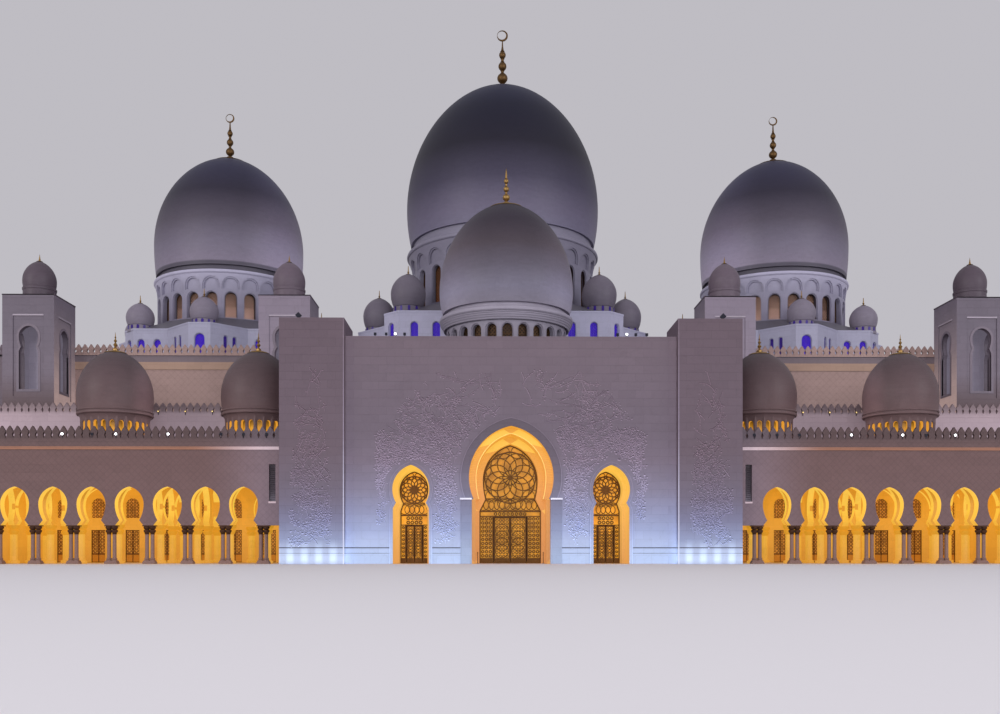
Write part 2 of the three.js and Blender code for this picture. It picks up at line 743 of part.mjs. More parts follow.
// A finial of stacked bulbs on a cap, with a crescent on the three great domes
function addFinial(name, dome, x, y, withCrescent) {
  const base = dome.apex + seam;
  const unit = dome.finial / 10;
  const profile = [
    [0, base],
    [0.95 * unit, base],
    [0.5 * unit, base + 0.9 * unit],
    [0.87 * unit, base + 1.9 * unit],
    [0.35 * unit, base + 2.9 * unit],
    [0.68 * unit, base + 3.9 * unit],
    [0.3 * unit, base + 4.9 * unit],
    [0.56 * unit, base + 5.8 * unit],
    [0.2 * unit, base + 6.8 * unit],
    [0.13 * unit, base + 8.2 * unit],
    [0, base + 8.2 * unit],
  ];
  let finial = toSolid(turned(profile, 8, x, y));
  if (withCrescent) {
    const centre = base + 9 * unit;
    const moon = new THREE.Shape().absarc(x, centre, 0.92 * unit, 0, 2 * Math.PI);
    const gap = new THREE.Path();
    moon.holes.push(gap.absarc(x - 0.1 * unit, centre + 0.08 * unit, 0.72 * unit, 0, 2 * Math.PI, true));
    const depth = 0.13 * unit;
    const form = { depth: 2 * depth, bevelEnabled: false, curveSegments: 7 };
    const ring = new THREE.ExtrudeGeometry(moon, form);
    finial = finial.add(toSolid(ring.rotateX(Math.PI / 2).translate(0, y + depth, 0)));
  }
  addMesh(name, finial, gold);
}

addPortal();
addScreensAndDoors();
addVestibule();
for (const side of sides) {
  addArcadeFront(side);
  addArcadeRoof(side);
  addArcadeDomes(side);
  addTerrace(side);
  addTower(`tower_inner_${side.name}`, side.sign * (tower.inner + tower.side / 2));
  addTower(`tower_outer_${side.name}`, side.sign * (tower.outer + tower.side / 2));
}
addHall();
addPodium("main", mainPodium, mainTurretDome, mainDrum, 0);
addDrum("main_drum", mainDrum, mainDome, 0, domeLine, mainPodium.top + seam);
addDome("main_dome", mainDome, 0, domeLine, 8);
addFinial("main_finial", mainDome, 0, domeLine, true);
for (const { name, sign } of sides) {
  const x = sign * sideDomeX;
  addPodium(name, sidePodium, sideTurretDome, sideDrum, x);
  addDrum(`${name}_drum`, sideDrum, sideDome, x, domeLine, sidePodium.top + seam);
  addDome(`${name}_dome`, sideDome, x, domeLine, 8);
  addFinial(`${name}_finial`, sideDome, x, domeLine, true);
}
addDrum("front_drum", frontDrum, frontDome, 0, frontDome.y, hall.top);
addDome("front_dome", frontDome, 0, frontDome.y, 7);
addFinial("front_finial", frontDome, 0, frontDome.y, false);

// The model stands centred on its origin
building.scale.setScalar(millimetresPerMetre);
building.position.y = (-hall.back / 2) * millimetresPerMetre;

const model = new THREE.Group();
model.add(building);

export default model;
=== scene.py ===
import math
import random

import bmesh
import bpy
from mathutils import Matrix, Vector


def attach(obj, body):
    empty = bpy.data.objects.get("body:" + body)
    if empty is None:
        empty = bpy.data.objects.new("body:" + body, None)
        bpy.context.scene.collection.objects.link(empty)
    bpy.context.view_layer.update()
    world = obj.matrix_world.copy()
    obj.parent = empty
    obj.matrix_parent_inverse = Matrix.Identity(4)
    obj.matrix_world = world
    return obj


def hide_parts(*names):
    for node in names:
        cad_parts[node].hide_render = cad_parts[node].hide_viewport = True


# White marble mosque at dusk, as a 1:10 model. Every length is the real building's, in
# metres, with the portal piers on y = 0; toModel brings a finished mesh into the shared frame.
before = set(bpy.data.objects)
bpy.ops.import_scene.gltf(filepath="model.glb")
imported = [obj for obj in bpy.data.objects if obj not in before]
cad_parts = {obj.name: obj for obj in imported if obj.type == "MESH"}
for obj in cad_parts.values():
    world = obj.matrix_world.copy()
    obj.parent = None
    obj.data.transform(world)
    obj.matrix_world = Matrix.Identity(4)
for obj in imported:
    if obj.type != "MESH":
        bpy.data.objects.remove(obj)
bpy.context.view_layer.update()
scene = bpy.context.scene
modelScale = 0.1
hallDepth = 106.6  # from the portal piers to the back of the hall
domeLine, frontDomeLine = 66.1, 30.5  # y of the great domes' middles and of the front dome's
toModel = Matrix.Translation((0, -hallDepth / 2 * modelScale, 0)) @ Matrix.Scale(modelScale, 4)
sides = {"left": -1, "right": 1}
seam = 0.003  # air between two pieces that meet


# Small helpers for bmesh work, all in the building's own metres. Each form is made in a
# bmesh of its own and then poured into the piece, so that it is never mixed up with others.
def pour(bm, part):
    mesh = bpy.data.meshes.new("part")
    part.to_mesh(mesh)
    part.free()
    bm.from_mesh(mesh)
    bpy.data.meshes.remove(mesh)


def paint(bm, finish):
    for face in bm.faces:
        face.material_index = finish


# The limits in x of what lies between near and far on one side of the building
def span(sign, near, far):
    return sorted([sign * near, sign * far])


# Cuts all faces of a bmesh at a plane, and drops what lies beyond it where clear is set
def cut(bm, place, normal, clear=False):
    geometry = bm.verts[:] + bm.edges[:] + bm.faces[:]
    bmesh.ops.bisect_plane(
        bm, geom=geometry, plane_co=place, plane_no=normal, dist=0.0005, clear_outer=clear
    )


def box(bm, x0, x1, y0, y1, z0, z1, finish=0):
    size = Matrix.Diagonal((abs(x1 - x0), y1 - y0, z1 - z0, 1))
    place = Matrix.Translation(((x0 + x1) / 2, (y0 + y1) / 2, (z0 + z1) / 2))
    made = bmesh.ops.create_cube(bm, size=1, matrix=place @ size)["verts"]
    for face in {face for vert in made for face in vert.link_faces}:
        face.material_index = finish
    return made


# A profile of (radius, height) pairs spun once about the upright line through x, y
def turned(bm, profile, steps, x=0, y=0, finish=0):
    part = bmesh.new()
    line = [part.verts.new((x + r, y, z)) for r, z in profile]
    edges = [part.edges.new(pair) for pair in zip(line, line[1:])]
    bmesh.ops.spin(
        part, geom=line + edges, cent=(x, y, 0), axis=(0, 0, 1), angle=2 * math.pi, steps=steps, use_merge=True
    )
    bmesh.ops.remove_doubles(part, verts=part.verts, dist=0.0004)
    bmesh.ops.recalc_face_normals(part, faces=part.faces)
    paint(part, finish)
    pour(bm, part)


# Copies of a small template bmesh, one for each matrix
def stamp(bm, template, places):
    bmesh.ops.recalc_face_normals(template, faces=template.faces)
    mesh = bpy.data.meshes.new("stamp")
    template.to_mesh(mesh)
    template.free()
    for place in places:
        copy = mesh.copy()
        copy.transform(place)
        bm.from_mesh(copy)
        bpy.data.meshes.remove(copy)
    bpy.data.meshes.remove(mesh)


# An arc that leaves the widest point upright and ends at end, both (x, z) pairs
def sweptArc(bm, start, widest, end, steps):
    dx, dz = widest[0] - end[0], end[1] - widest[1]
    radius = (dx * dx + dz * dz) / (2 * dx)
    angle = -math.copysign(math.asin(min(1, abs(dz) / radius)), dz)
    centre = (widest[0] - radius, start.co.y, widest[1])
    spun = bmesh.ops.spin(bm, geom=[start], cent=centre, axis=(0, 1, 0), angle=angle, steps=steps)
    return spun["geom_last"][0]


# The edges of a pointed horseshoe arch, open at its foot; gives back its two feet
def drawArch(bm, arch, x, foot, steps=9, y=0):
    part = bmesh.new()
    widest = (arch["bulge"], arch["bulgeZ"])
    start = part.verts.new((widest[0], y, widest[1]))
    pinch = sweptArc(part, start, widest, (arch["pinch"], arch["pinchZ"]), max(3, steps // 2))
    sweptArc(part, start, widest, (0, arch["apex"]), steps)
    impost = part.verts.new((arch["jamb"], y, arch["impost"]))
    base = part.verts.new((arch["jamb"], y, foot))
    part.edges.new((pinch, impost))
    part.edges.new((impost, base))
    bmesh.ops.mirror(part, geom=part.verts[:] + part.edges[:], matrix=Matrix(), merge_dist=0.001, axis="X")
    made = {vert: bm.verts.new(vert.co + Vector((x, 0, 0))) for vert in part.verts}
    for edge in part.edges:
        bm.edges.new([made[vert] for vert in edge.verts])
    feet = sorted([v for v in made.values() if abs(v.co.z - foot) < 1e-5], key=lambda v: v.co.x)
    part.free()
    return feet[0], feet[-1]


# Straight edges through (x, z) points, joined to two end vertices where they are given
def chain(bm, points, ends=None, y=0):
    line = [bm.verts.new((x, y, z)) for x, z in points]
    if ends:
        line = [ends[0], *line, ends[1]]
    for pair in zip(line, line[1:]):
        bm.edges.new(pair)
    return line


def loop(bm, points, y=0):
    line = chain(bm, points, y=y)
    bm.edges.new((line[-1], line[0]))


def closedArch(bm, arch, x, foot, steps=9, y=0):
    bm.edges.new(drawArch(bm, arch, x, foot, steps, y))


# A window outline with a round head
def roundHead(bm, x, sill, half, top, steps=8, y=0):
    spring = top - half
    start = bm.verts.new((x + half, y, spring))
    spun = bmesh.ops.spin(bm, geom=[start], cent=(x, y, spring), axis=(0, 1, 0), angle=-math.pi, steps=steps)
    chain(bm, [(x - half, sill), (x + half, sill)], ends=(spun["geom_last"][0], start), y=y)


# Fills the outlines drawn in a bmesh and gives the sheet a depth to the back
def thicken(part, depth, finish=0, sideFinish=None):
    bmesh.ops.triangle_fill(part, use_beauty=True, edges=part.edges)
    grown = bmesh.ops.extrude_face_region(part, geom=part.faces[:])
    moved = [g for g in grown["geom"] if isinstance(g, bmesh.types.BMVert)]
    bmesh.ops.translate(part, vec=(0, depth, 0), verts=moved)
    for face in part.faces:
        face.normal_update()
        flat = abs(face.normal.y) > 0.9
        face.material_index = finish if flat or sideFinish is None else sideFinish


# A sheet in x and z with holes, from y0 to y1; draws is a list of calls that draw outlines
def wallSheet(bm, y0, y1, draws, finish=0, sideFinish=None):
    part = bmesh.new()
    for draw in draws:
        draw(part, y0)
    thicken(part, y1 - y0, finish, sideFinish)
    pour(bm, part)


def rectangle(x0, x1, z0, z1):
    return lambda bm, y: loop(bm, [(x0, z0), (x1, z0), (x1, z1), (x0, z1)], y)


def roundWindow(x, sill, half, top, steps=8):
    return lambda bm, y: roundHead(bm, x, sill, half, top, steps, y)


def archWindow(arch, x, foot, steps=9):
    return lambda bm, y: closedArch(bm, arch, x, foot, steps, y)


# Places a sheet drawn from (0, 0) along x so that it runs from one plan point to another
def alongWall(start, end):
    dx, dy = end[0] - start[0], end[1] - start[1]
    return Matrix.Translation((start[0], start[1], 0)) @ Matrix.Rotation(math.atan2(dy, dx), 4, "Z")


def turns(count, x, y, offset=0):
    place, back = Matrix.Translation((x, y, 0)), Matrix.Translation((-x, -y, 0))
    step = 2 * math.pi / count
    return [place @ Matrix.Rotation(offset + step * i, 4, "Z") @ back for i in range(count)]


def addPiece(name, bm, finishes, body="building", replaces=(), smooth=30):
    bmesh.ops.recalc_face_normals(bm, faces=bm.faces)
    bm.transform(toModel)
    mesh = bpy.data.meshes.new(name)
    bm.to_mesh(mesh)
    bm.free()
    for finish in finishes:
        mesh.materials.append(finish)
    mesh.shade_smooth()
    mesh.set_sharp_from_angle(angle=math.radians(smooth))
    piece = bpy.data.objects.new(name, mesh)
    scene.collection.objects.link(piece)
    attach(piece, body)
    if replaces:
        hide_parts(*replaces)
    return piece


# Finishes

def nodeGroup(name, inputs, outputs):
    group = bpy.data.node_groups.new(name, "ShaderNodeTree")
    for kind, socketName, value in inputs:
        socket = group.interface.new_socket(name=socketName, in_out="INPUT", socket_type=kind)
        if value is not None:
            socket.default_value = value
    for kind, socketName in outputs:
        group.interface.new_socket(name=socketName, in_out="OUTPUT", socket_type=kind)
    return group, group.nodes.new("NodeGroupInput"), group.nodes.new("NodeGroupOutput")


def maths(tree, operation, a, b=None, c=None, clamp=False):
    node = tree.nodes.new("ShaderNodeMath")
    node.operation = operation
    node.use_clamp = clamp
    for socket, value in zip(node.inputs, (a, b, c)):
        if value is None:
            continue
        if isinstance(value, (int, float)):
            socket.default_value = value
        else:
            tree.links.new(value, socket)
    return node.outputs[0]


def mixColour(tree, factor, a, b, blend="MIX"):
    node = tree.nodes.new("ShaderNodeMix")
    node.data_type = "RGBA"
    node.blend_type = blend
    for socket, value in zip((node.inputs[0], node.inputs[6], node.inputs[7]), (factor, a, b)):
        if hasattr(value, "links"):
            tree.links.new(value, socket)
        else:
            socket.default_value = value
    return node.outputs[2]


def rangeOf(tree, value, low, high, outLow=0.0, outHigh=1.0):
    node = tree.nodes.new("ShaderNodeMapRange")
    node.interpolation_type = "SMOOTHSTEP"
    tree.links.new(value, node.inputs[0])
    for socket, number in zip(node.inputs[1:5], (low, high, outLow, outHigh)):
        socket.default_value = number
    return node.outputs[0]


# A colour for each height, through stops of (height in real metres, colour)
def rampOf(tree, height, stops):
    low, high = stops[0][0] * modelScale, stops[-1][0] * modelScale
    share = tree.nodes.new("ShaderNodeMapRange")
    tree.links.new(height, share.inputs[0])
    share.inputs[1].default_value = low
    share.inputs[2].default_value = high
    ramp = tree.nodes.new("ShaderNodeValToRGB")
    tree.links.new(share.outputs[0], ramp.inputs[0])
    elements = ramp.color_ramp.elements
    elements[0].color = (*stops[0][1], 1)
    elements[1].color = (*stops[-1][1], 1)
    for z, colour in stops[1:-1]:
        elements.new((z * modelScale - low) / (high - low)).color = (*colour, 1)
    return ramp.outputs[0]


def splitOf(tree, place):
    split = tree.nodes.new("ShaderNodeSeparateXYZ")
    tree.links.new(place, split.inputs[0])
    return split.outputs


def facingOf(tree, normal="Normal"):
    return splitOf(tree, tree.nodes.new("ShaderNodeNewGeometry").outputs[normal])


# The group for courses of stone gives a joint mask and a tone for each stone. Width and
# height of a stone and of its joint are in model metres.
def courseGroup(name, width, height, joint, extra=()):
    sockets = [("NodeSocketVector", "Place", None), ("NodeSocketFloat", "Width", width)]
    sockets += [("NodeSocketFloat", "Height", height), ("NodeSocketFloat", "Joint", joint), *extra]
    outs = [("NodeSocketFloat", "Joints"), ("NodeSocketFloat", "Tone")]
    return nodeGroup(name, sockets, outs)


# Courses on flat faces, whichever way they look
def makeCourses():
    group, given, out = courseGroup("stoneCourses", 0.18, 0.09, 0.0012)
    place = splitOf(group, given.outputs["Place"])
    facing = facingOf(group, "True Normal")
    sideways = maths(group, "GREATER_THAN", maths(group, "ABSOLUTE", facing[0]), 0.72)
    flat = maths(group, "GREATER_THAN", maths(group, "ABSOLUTE", facing[2]), 0.85)
    joined = group.nodes.new("ShaderNodeCombineXYZ")
    for i, (mask, usual, other) in enumerate(((sideways, 0, 1), (flat, 2, 1))):
        choice = group.nodes.new("ShaderNodeMix")
        for socket, value in zip((0, 2, 3), (mask, place[usual], place[other])):
            group.links.new(value, choice.inputs[socket])
        group.links.new(choice.outputs[0], joined.inputs[i])
    addBricks(group, joined.outputs[0], given, out)
    return group


# The same courses laid round a dome or drum: height against the way round it
def makeRoundCourses():
    group, given, out = courseGroup("roundCourses", 0.12, 0.05, 0.001, [("NodeSocketFloat", "Radius", 1.6)])
    place = splitOf(group, given.outputs["Place"])
    angle = maths(group, "ARCTAN2", place[1], place[0])
    joined = group.nodes.new("ShaderNodeCombineXYZ")
    group.links.new(maths(group, "MULTIPLY", angle, given.outputs["Radius"]), joined.inputs[0])
    group.links.new(place[2], joined.inputs[1])
    addBricks(group, joined.outputs[0], given, out)
    return group


def addBricks(group, place, given, out):
    bricks = group.nodes.new("ShaderNodeTexBrick")
    for socket, value in (("Color1", 0), ("Color2", 1), ("Mortar", 0.5)):
        bricks.inputs[socket].default_value = (value, value, value, 1)
    bricks.inputs["Scale"].default_value = 1
    bricks.inputs["Mortar Smooth"].default_value = 0.2
    group.links.new(place, bricks.inputs["Vector"])
    for key, socket in (("Width", "Brick Width"), ("Height", "Row Height"), ("Joint", "Mortar Size")):
        group.links.new(given.outputs[key], bricks.inputs[socket])
    group.links.new(bricks.outputs["Fac"], out.inputs["Joints"])
    group.links.new(bricks.outputs["Color"], out.inputs["Tone"])


# Cloudy grey veins and fine pitting of marble
def makeVeins():
    sockets = [("NodeSocketVector", "Place", None), ("NodeSocketFloat", "Size", 1.0)]
    outs = [("NodeSocketFloat", "Veins"), ("NodeSocketFloat", "Cloud"), ("NodeSocketFloat", "Grain")]
    group, given, out = nodeGroup("marbleVeins", sockets, outs)
    cloud = group.nodes.new("ShaderNodeTexNoise")
    vein = group.nodes.new("ShaderNodeTexNoise")
    grain = group.nodes.new("ShaderNodeTexNoise")
    for node, scale, detail in ((cloud, 1.3, 4), (vein, 5, 6), (grain, 120, 3)):
        group.links.new(given.outputs["Place"], node.inputs["Vector"])
        group.links.new(maths(group, "MULTIPLY", given.outputs["Size"], scale), node.inputs["Scale"])
        node.inputs["Detail"].default_value = detail
    vein.inputs["Distortion"].default_value = 1.4
    middle = maths(group, "ABSOLUTE", maths(group, "SUBTRACT", vein.outputs[0], 0.5))
    group.links.new(rangeOf(group, middle, 0.0, 0.035, 1, 0), out.inputs["Veins"])
    group.links.new(cloud.outputs[0], out.inputs["Cloud"])
    group.links.new(grain.outputs[0], out.inputs["Grain"])
    return group


courses = makeCourses()
roundCourses = makeRoundCourses()
marbleVeins = makeVeins()


def newFinish(name):
    finish = bpy.data.materials.new(name)
    finish.use_nodes = True
    tree = finish.node_tree
    shader = tree.nodes["Principled BSDF"]
    place = tree.nodes.new("ShaderNodeTexCoord").outputs["Object"]
    return finish, tree, shader, place


def useGroup(tree, group, place, **values):
    node = tree.nodes.new("ShaderNodeGroup")
    node.node_tree = group
    tree.links.new(place, node.inputs["Place"])
    for key, value in values.items():
        node.inputs[key].default_value = value
    return node


def addBump(tree, shader, height, strength, distance):
    bump = tree.nodes.new("ShaderNodeBump")
    bump.inputs["Strength"].default_value = strength
    bump.inputs["Distance"].default_value = distance
    tree.links.new(height, bump.inputs["Height"])
    tree.links.new(bump.outputs[0], shader.inputs["Normal"])


# White marble with the dusk light painted into its colour. tones are stops of (height, colour)
# that paint light and shade: paler and bluer near the lamps at its foot, darker and warmer high
# up. around gives the upright line and radius of a dome or drum, in model metres. near tints a
# band across x, painted light where the tint is over one and painted shade where it is under
# one; glow is painted light, an emission by height that stands for lamplight on the stone; and
# beams are the lamps' light painted up the foot of a wall. A relief can take painted shade by the
# way its faces look, as light from below gives, and turn paints light on the faces that look to
# the building's middle ("inward") or to either side ("rim").
stone = {
    "tones": [(0, (0.42, 0.50, 0.70)), (14, (0.133, 0.102, 0.13))],
    "block": (0.18, 0.09, 0.0012),
    "jointDark": 0.82,
    "near": None,
    "glow": None,
    "beams": None,
    "diamonds": None,
    "carved": False,
    "turn": None,
}
marble = {"base": 0.935, "tone": 0.07, "cloud": 0.08, "vein": -0.05, "groove": -0.09}
marble.update({"rough": 0.4, "gloss": 0.25})
# Painted shade on a relief: its gain, from faces that look down to those that look up
facingShadeRange = (-0.5, 0.5, 2.3, 0.36)  # from faces that look down to those that look up


def makeStone(name, around=None, **changes):
    given = {**stone, **changes}
    finish, tree, shader, place = newFinish(name)
    x, _, z = splitOf(tree, place)
    # The tones by height are painted light and shade
    if len(given["tones"]) > 1:
        tone = rampOf(tree, z, given["tones"])
    else:
        tone = (*given["tones"][0][1], 1)
    veins = useGroup(tree, marbleVeins, place).outputs
    size = dict(zip(("Width", "Height", "Joint"), given["block"]))
    if around:
        centre = tree.nodes.new("ShaderNodeMapping")
        centre.inputs["Location"].default_value = (-around[0], -around[1], 0)
        tree.links.new(place, centre.inputs[0])
        blocks = useGroup(tree, roundCourses, centre.outputs[0], Radius=around[2], **size).outputs
    else:
        blocks = useGroup(tree, courses, place, **size).outputs
    shade = maths(tree, "MULTIPLY_ADD", blocks["Tone"], marble["tone"], marble["base"])
    shade = maths(tree, "MULTIPLY_ADD", veins["Cloud"], marble["cloud"], shade)
    shade = maths(tree, "MULTIPLY_ADD", veins["Veins"], marble["vein"], shade)
    shade = maths(tree, "MULTIPLY_ADD", blocks["Joints"], given["jointDark"] - 1, shade)
    relief = maths(tree, "SUBTRACT", maths(tree, "MULTIPLY", veins["Grain"], 0.15), blocks["Joints"])
    relief = maths(tree, "MULTIPLY_ADD", blocks["Tone"], 0.2, relief)
    if given["diamonds"]:
        lines = diamondLines(tree, x, z, given["diamonds"] * modelScale)
        shade = maths(tree, "MULTIPLY_ADD", lines, marble["groove"], shade)
        relief = maths(tree, "MULTIPLY_ADD", lines, -0.8, relief)
    # Painted shade and light on a relief: faces that look up darker, faces that look down lighter
    if given["carved"]:
        shade = maths(tree, "MULTIPLY", shade, rangeOf(tree, facingOf(tree)[2], *facingShadeRange))
    # Painted light on the faces that look to the building's middle or to either side
    if given["turn"]:
        way, start, gain = given["turn"]
        amount = facingOf(tree)[0]
        if way == "rim":
            amount = maths(tree, "ABSOLUTE", amount)
        else:
            side = maths(tree, "SIGN", maths(tree, "MULTIPLY", x, -1))
            amount = maths(tree, "MULTIPLY", amount, side)
        shade = maths(tree, "MULTIPLY", shade, rangeOf(tree, amount, start, 1.0, 1, gain))
    grey = tree.nodes.new("ShaderNodeCombineColor")
    for socket in grey.inputs:
        tree.links.new(shade, socket)
    across = maths(tree, "ABSOLUTE", x)
    # Painted light and shade on a band across x: lighter where the tint is over one, darker under one
    if given["near"]:
        start, end, tint = given["near"]
        share = rangeOf(tree, across, start * modelScale, end * modelScale, 1, 0)
        tone = mixColour(tree, share, tone, mixColour(tree, 1.0, tone, (*tint, 1), "MULTIPLY"))
    tone = mixColour(tree, 1.0, tone, grey.outputs[0], "MULTIPLY")
    tree.links.new(tone, shader.inputs["Base Color"])
    rough = maths(tree, "MULTIPLY_ADD", veins["Grain"], 0.2, marble["rough"])
    tree.links.new(rough, shader.inputs["Roughness"])
    shader.inputs["Specular IOR Level"].default_value = marble["gloss"]
    addBump(tree, shader, relief, 0.5, 0.0015)
    # Painted light: an emission by height that stands for lamplight falling on the stone
    if given["glow"]:
        stops, strength = given["glow"]
        light = mixColour(tree, 1.0, rampOf(tree, z, stops), grey.outputs[0], "MULTIPLY")
        addLight(tree, shader, light, strength)
    # Painted light of the lamps at the foot
    if given["beams"]:
        addBeams(tree, shader, across, z, *given["beams"])
    return finish


def addLight(tree, shader, colour, strength):
    tree.links.new(colour, shader.inputs["Emission Color"])
    shader.inputs["Emission Strength"].default_value = strength


# Shallow grooves that cross at 45 degrees
def diamondLines(tree, x, z, pitch):
    masks = []
    for operation in ("ADD", "SUBTRACT"):
        along = maths(tree, operation, x, z)
        swing = maths(tree, "PINGPONG", maths(tree, "DIVIDE", along, pitch), 0.5)
        masks.append(rangeOf(tree, swing, 0.04, 0.12, 1, 0))
    return maths(tree, "MAXIMUM", *masks)


# Painted light of lamps on the ground, washing up the foot of a wall in soft upright streaks
def addBeams(tree, shader, across, height, middle, pitch, strength):
    offset = maths(tree, "SUBTRACT", across, middle * modelScale)
    turn = maths(tree, "MULTIPLY", offset, 2 * math.pi / (pitch * modelScale))
    wave = rangeOf(tree, maths(tree, "COSINE", turn), -0.8, 1.0, 0.35, 1)
    foot = rangeOf(tree, height, 0.0, 0.05, 0.45, 1)
    fade = rangeOf(tree, height, 0.05, 0.3, 1, 0)
    amount = maths(tree, "MULTIPLY", maths(tree, "MULTIPLY", wave, foot), fade)
    addLight(tree, shader, mixColour(tree, amount, (0, 0, 0, 1), (0.62, 0.80, 1.0, 1)), strength)


# Gilded metal, brushed and a little worn
def makeMetal(name, pale, deep, roughness, glow=None):
    finish, tree, shader, place = newFinish(name)
    veins = useGroup(tree, marbleVeins, place, Size=6.0)
    tone = mixColour(tree, veins.outputs["Cloud"], (*deep, 1), (*pale, 1))
    tree.links.new(tone, shader.inputs["Base Color"])
    shader.inputs["Metallic"].default_value = 0.85
    rough = maths(tree, "MULTIPLY_ADD", veins.outputs["Grain"], 0.25, roughness)
    tree.links.new(rough, shader.inputs["Roughness"])
    addBump(tree, shader, veins.outputs["Grain"], 0.25, 0.0006)
    if glow:
        shader.inputs["Emission Color"].default_value = glow[0]
        shader.inputs["Emission Strength"].default_value = glow[1]
    return finish


# Lit glass: a cloudy glow with leaf-like patches of a deeper tone; fade paints shade on it above a height
def makeLitGlass(name, bright, deep, strength, scale=9.0, fade=None):
    finish, tree, shader, place = newFinish(name)
    patch = tree.nodes.new("ShaderNodeTexVoronoi")
    patch.inputs["Scale"].default_value = scale
    tree.links.new(place, patch.inputs["Vector"])
    veins = useGroup(tree, marbleVeins, place, Size=4.0)
    mask = maths(tree, "MULTIPLY", patch.outputs["Distance"], 0.9)
    mask = maths(tree, "MULTIPLY_ADD", veins.outputs["Cloud"], 0.6, mask, clamp=True)
    tone = mixColour(tree, mask, (*deep, 1), (*bright, 1))
    # Painted shade: darker above a height
    if fade:
        low, high, dark = fade
        share = rangeOf(tree, splitOf(tree, place)[2], low * modelScale, high * modelScale)
        tone = mixColour(tree, share, tone, mixColour(tree, 1.0, tone, (dark, dark, dark, 1), "MULTIPLY"))
    tree.links.new(tone, shader.inputs["Base Color"])
    addLight(tree, shader, tone, strength)
    shader.inputs["Roughness"].default_value = 0.3
    shader.inputs["Specular IOR Level"].default_value = 0.15
    addBump(tree, shader, veins.outputs["Cloud"], 0.2, 0.002)
    return finish


def plain(*colour):
    return [(0, colour)]


# The same tones, brighter or darker by a gain, with another gain below a height
def shaded(tones, gain, below=0, footGain=1):
    return [(z, [c * (footGain if z < below else gain) for c in tone]) for z, tone in tones]


# Tones of the portal, by height in real metres: painted floodlight, pale and blue at the foot and darker and
# warmer higher up
wallTones = [(0.9, (0.476, 0.590, 0.81)), (2.6, (0.422, 0.500, 0.716)), (3.7, (0.339, 0.395, 0.596))]
wallTones += [(5.8, (0.270, 0.283, 0.422)), (8, (0.222, 0.204, 0.280)), (11.3, (0.171, 0.137, 0.177))]
wallTones += [(14.5, (0.141, 0.111, 0.140)), (24, (0.142, 0.106, 0.128))]
pierTones = [(0.8, (0.41, 0.47, 0.64)), (2.6, (0.28, 0.32, 0.48)), (4.7, (0.19, 0.19, 0.29))]
pierTones += [(6.9, (0.155, 0.134, 0.185)), (9, (0.143, 0.115, 0.148)), (12.2, (0.130, 0.095, 0.117))]
pierTones.append((26, (0.112, 0.079, 0.097)))
# Painted highlight on the piers' inner edges, brightest at the foot
edgeHighlightTones = [(0, (0.75, 0.82, 0.98)), (6, (0.50, 0.50, 0.62)), (14, (0.25, 0.21, 0.27))]
edgeHighlightTones.append((26, (0.16, 0.12, 0.145)))
seamless = {"block": (3.0, 3.0, 0.0005)}
# The wall is painted lighter close to the piers, where their shade falls
wallStone = makeStone("wallStone", tones=wallTones, near=(18.0, 16.4, [1.4] * 3))
hallStone = makeStone("hallStone", tones=wallTones)
pierStone = makeStone("pierStone", tones=pierTones, beams=(22.26, 1.54, 0.6), jointDark=0.76)
# The reliefs are painted brighter than the wall above a height, and take painted shade and light by the way
# their faces look
reliefStone = makeStone("reliefStone", carved=True, tones=shaded(wallTones, 1.2, 7, 0.95), **seamless)
pierRelief = makeStone("pierRelief", carved=True, tones=shaded(pierTones, 1.12, 3), **seamless)
# Painted highlight: the pale outer edges of the arch bands
rimHighlightStone = makeStone("rimHighlightStone", tones=shaded(wallTones, 1.3), **seamless)
# Painted shade: the band round the great arch and the strips beside its foot
stripShadeStone = makeStone("stripShadeStone", tones=shaded(wallTones, 0.76))
edgeHighlightStone = makeStone("edgeHighlightStone", tones=edgeHighlightTones)
# Painted light: the impost ledges of the great arch, far paler than the wall, as the lamps below light them
litLedgeStone = makeStone("litLedgeStone", tones=plain(0.83, 0.83, 0.97))
shadeStone = makeStone("shadeStone", tones=plain(0.05, 0.045, 0.07))
# Painted light: a glowing bead round the great arch's second step
beadGlow = [(0, (0.75, 0.48, 0.12)), (16, (0.9, 0.55, 0.10))]
beadGlowStone = makeStone("beadGlowStone", tones=plain(0.9, 0.62, 0.22), glow=(beadGlow, 0.5), **seamless)

# Amber light inside the arches and the arcades, painted into the stone as a glow
litBase = [(0, (0.30, 0.13, 0.045)), (8, (0.38, 0.17, 0.05)), (14, (0.40, 0.20, 0.035))]
litGlow = [(0, (0.40, 0.17, 0.055)), (8, (0.48, 0.215, 0.055)), (14, (0.51, 0.24, 0.025))]
sideGlow = [(0, (0.52, 0.26, 0.065)), (6, (0.62, 0.37, 0.075)), (10, (0.66, 0.43, 0.06))]
arcGlow = [(0, (0.62, 0.31, 0.030)), (4.5, (0.80, 0.47, 0.047)), (6, (0.90, 0.60, 0.060))]
arcGlow.append((9, (0.86, 0.60, 0.085)))
insideGlow = [(0, (0.52, 0.24, 0.022)), (4.5, (0.68, 0.33, 0.03)), (7, (0.64, 0.30, 0.02))]
insideGlow.append((12, (0.52, 0.23, 0.015)))
arcadeBlocks = {"block": (0.18, 0.09, 0.0008), "jointDark": 0.9}
litStone = makeStone("litStone", tones=litBase, glow=(litGlow, 1.0), **seamless)
litSide = makeStone("litSide", tones=litBase, glow=(sideGlow, 1.0), **seamless)
arcLit = makeStone("arcLit", tones=litBase, glow=(arcGlow, 0.8), **arcadeBlocks)
insideLitStone = makeStone("insideLitStone", tones=litBase, glow=(insideGlow, 0.8), **arcadeBlocks)

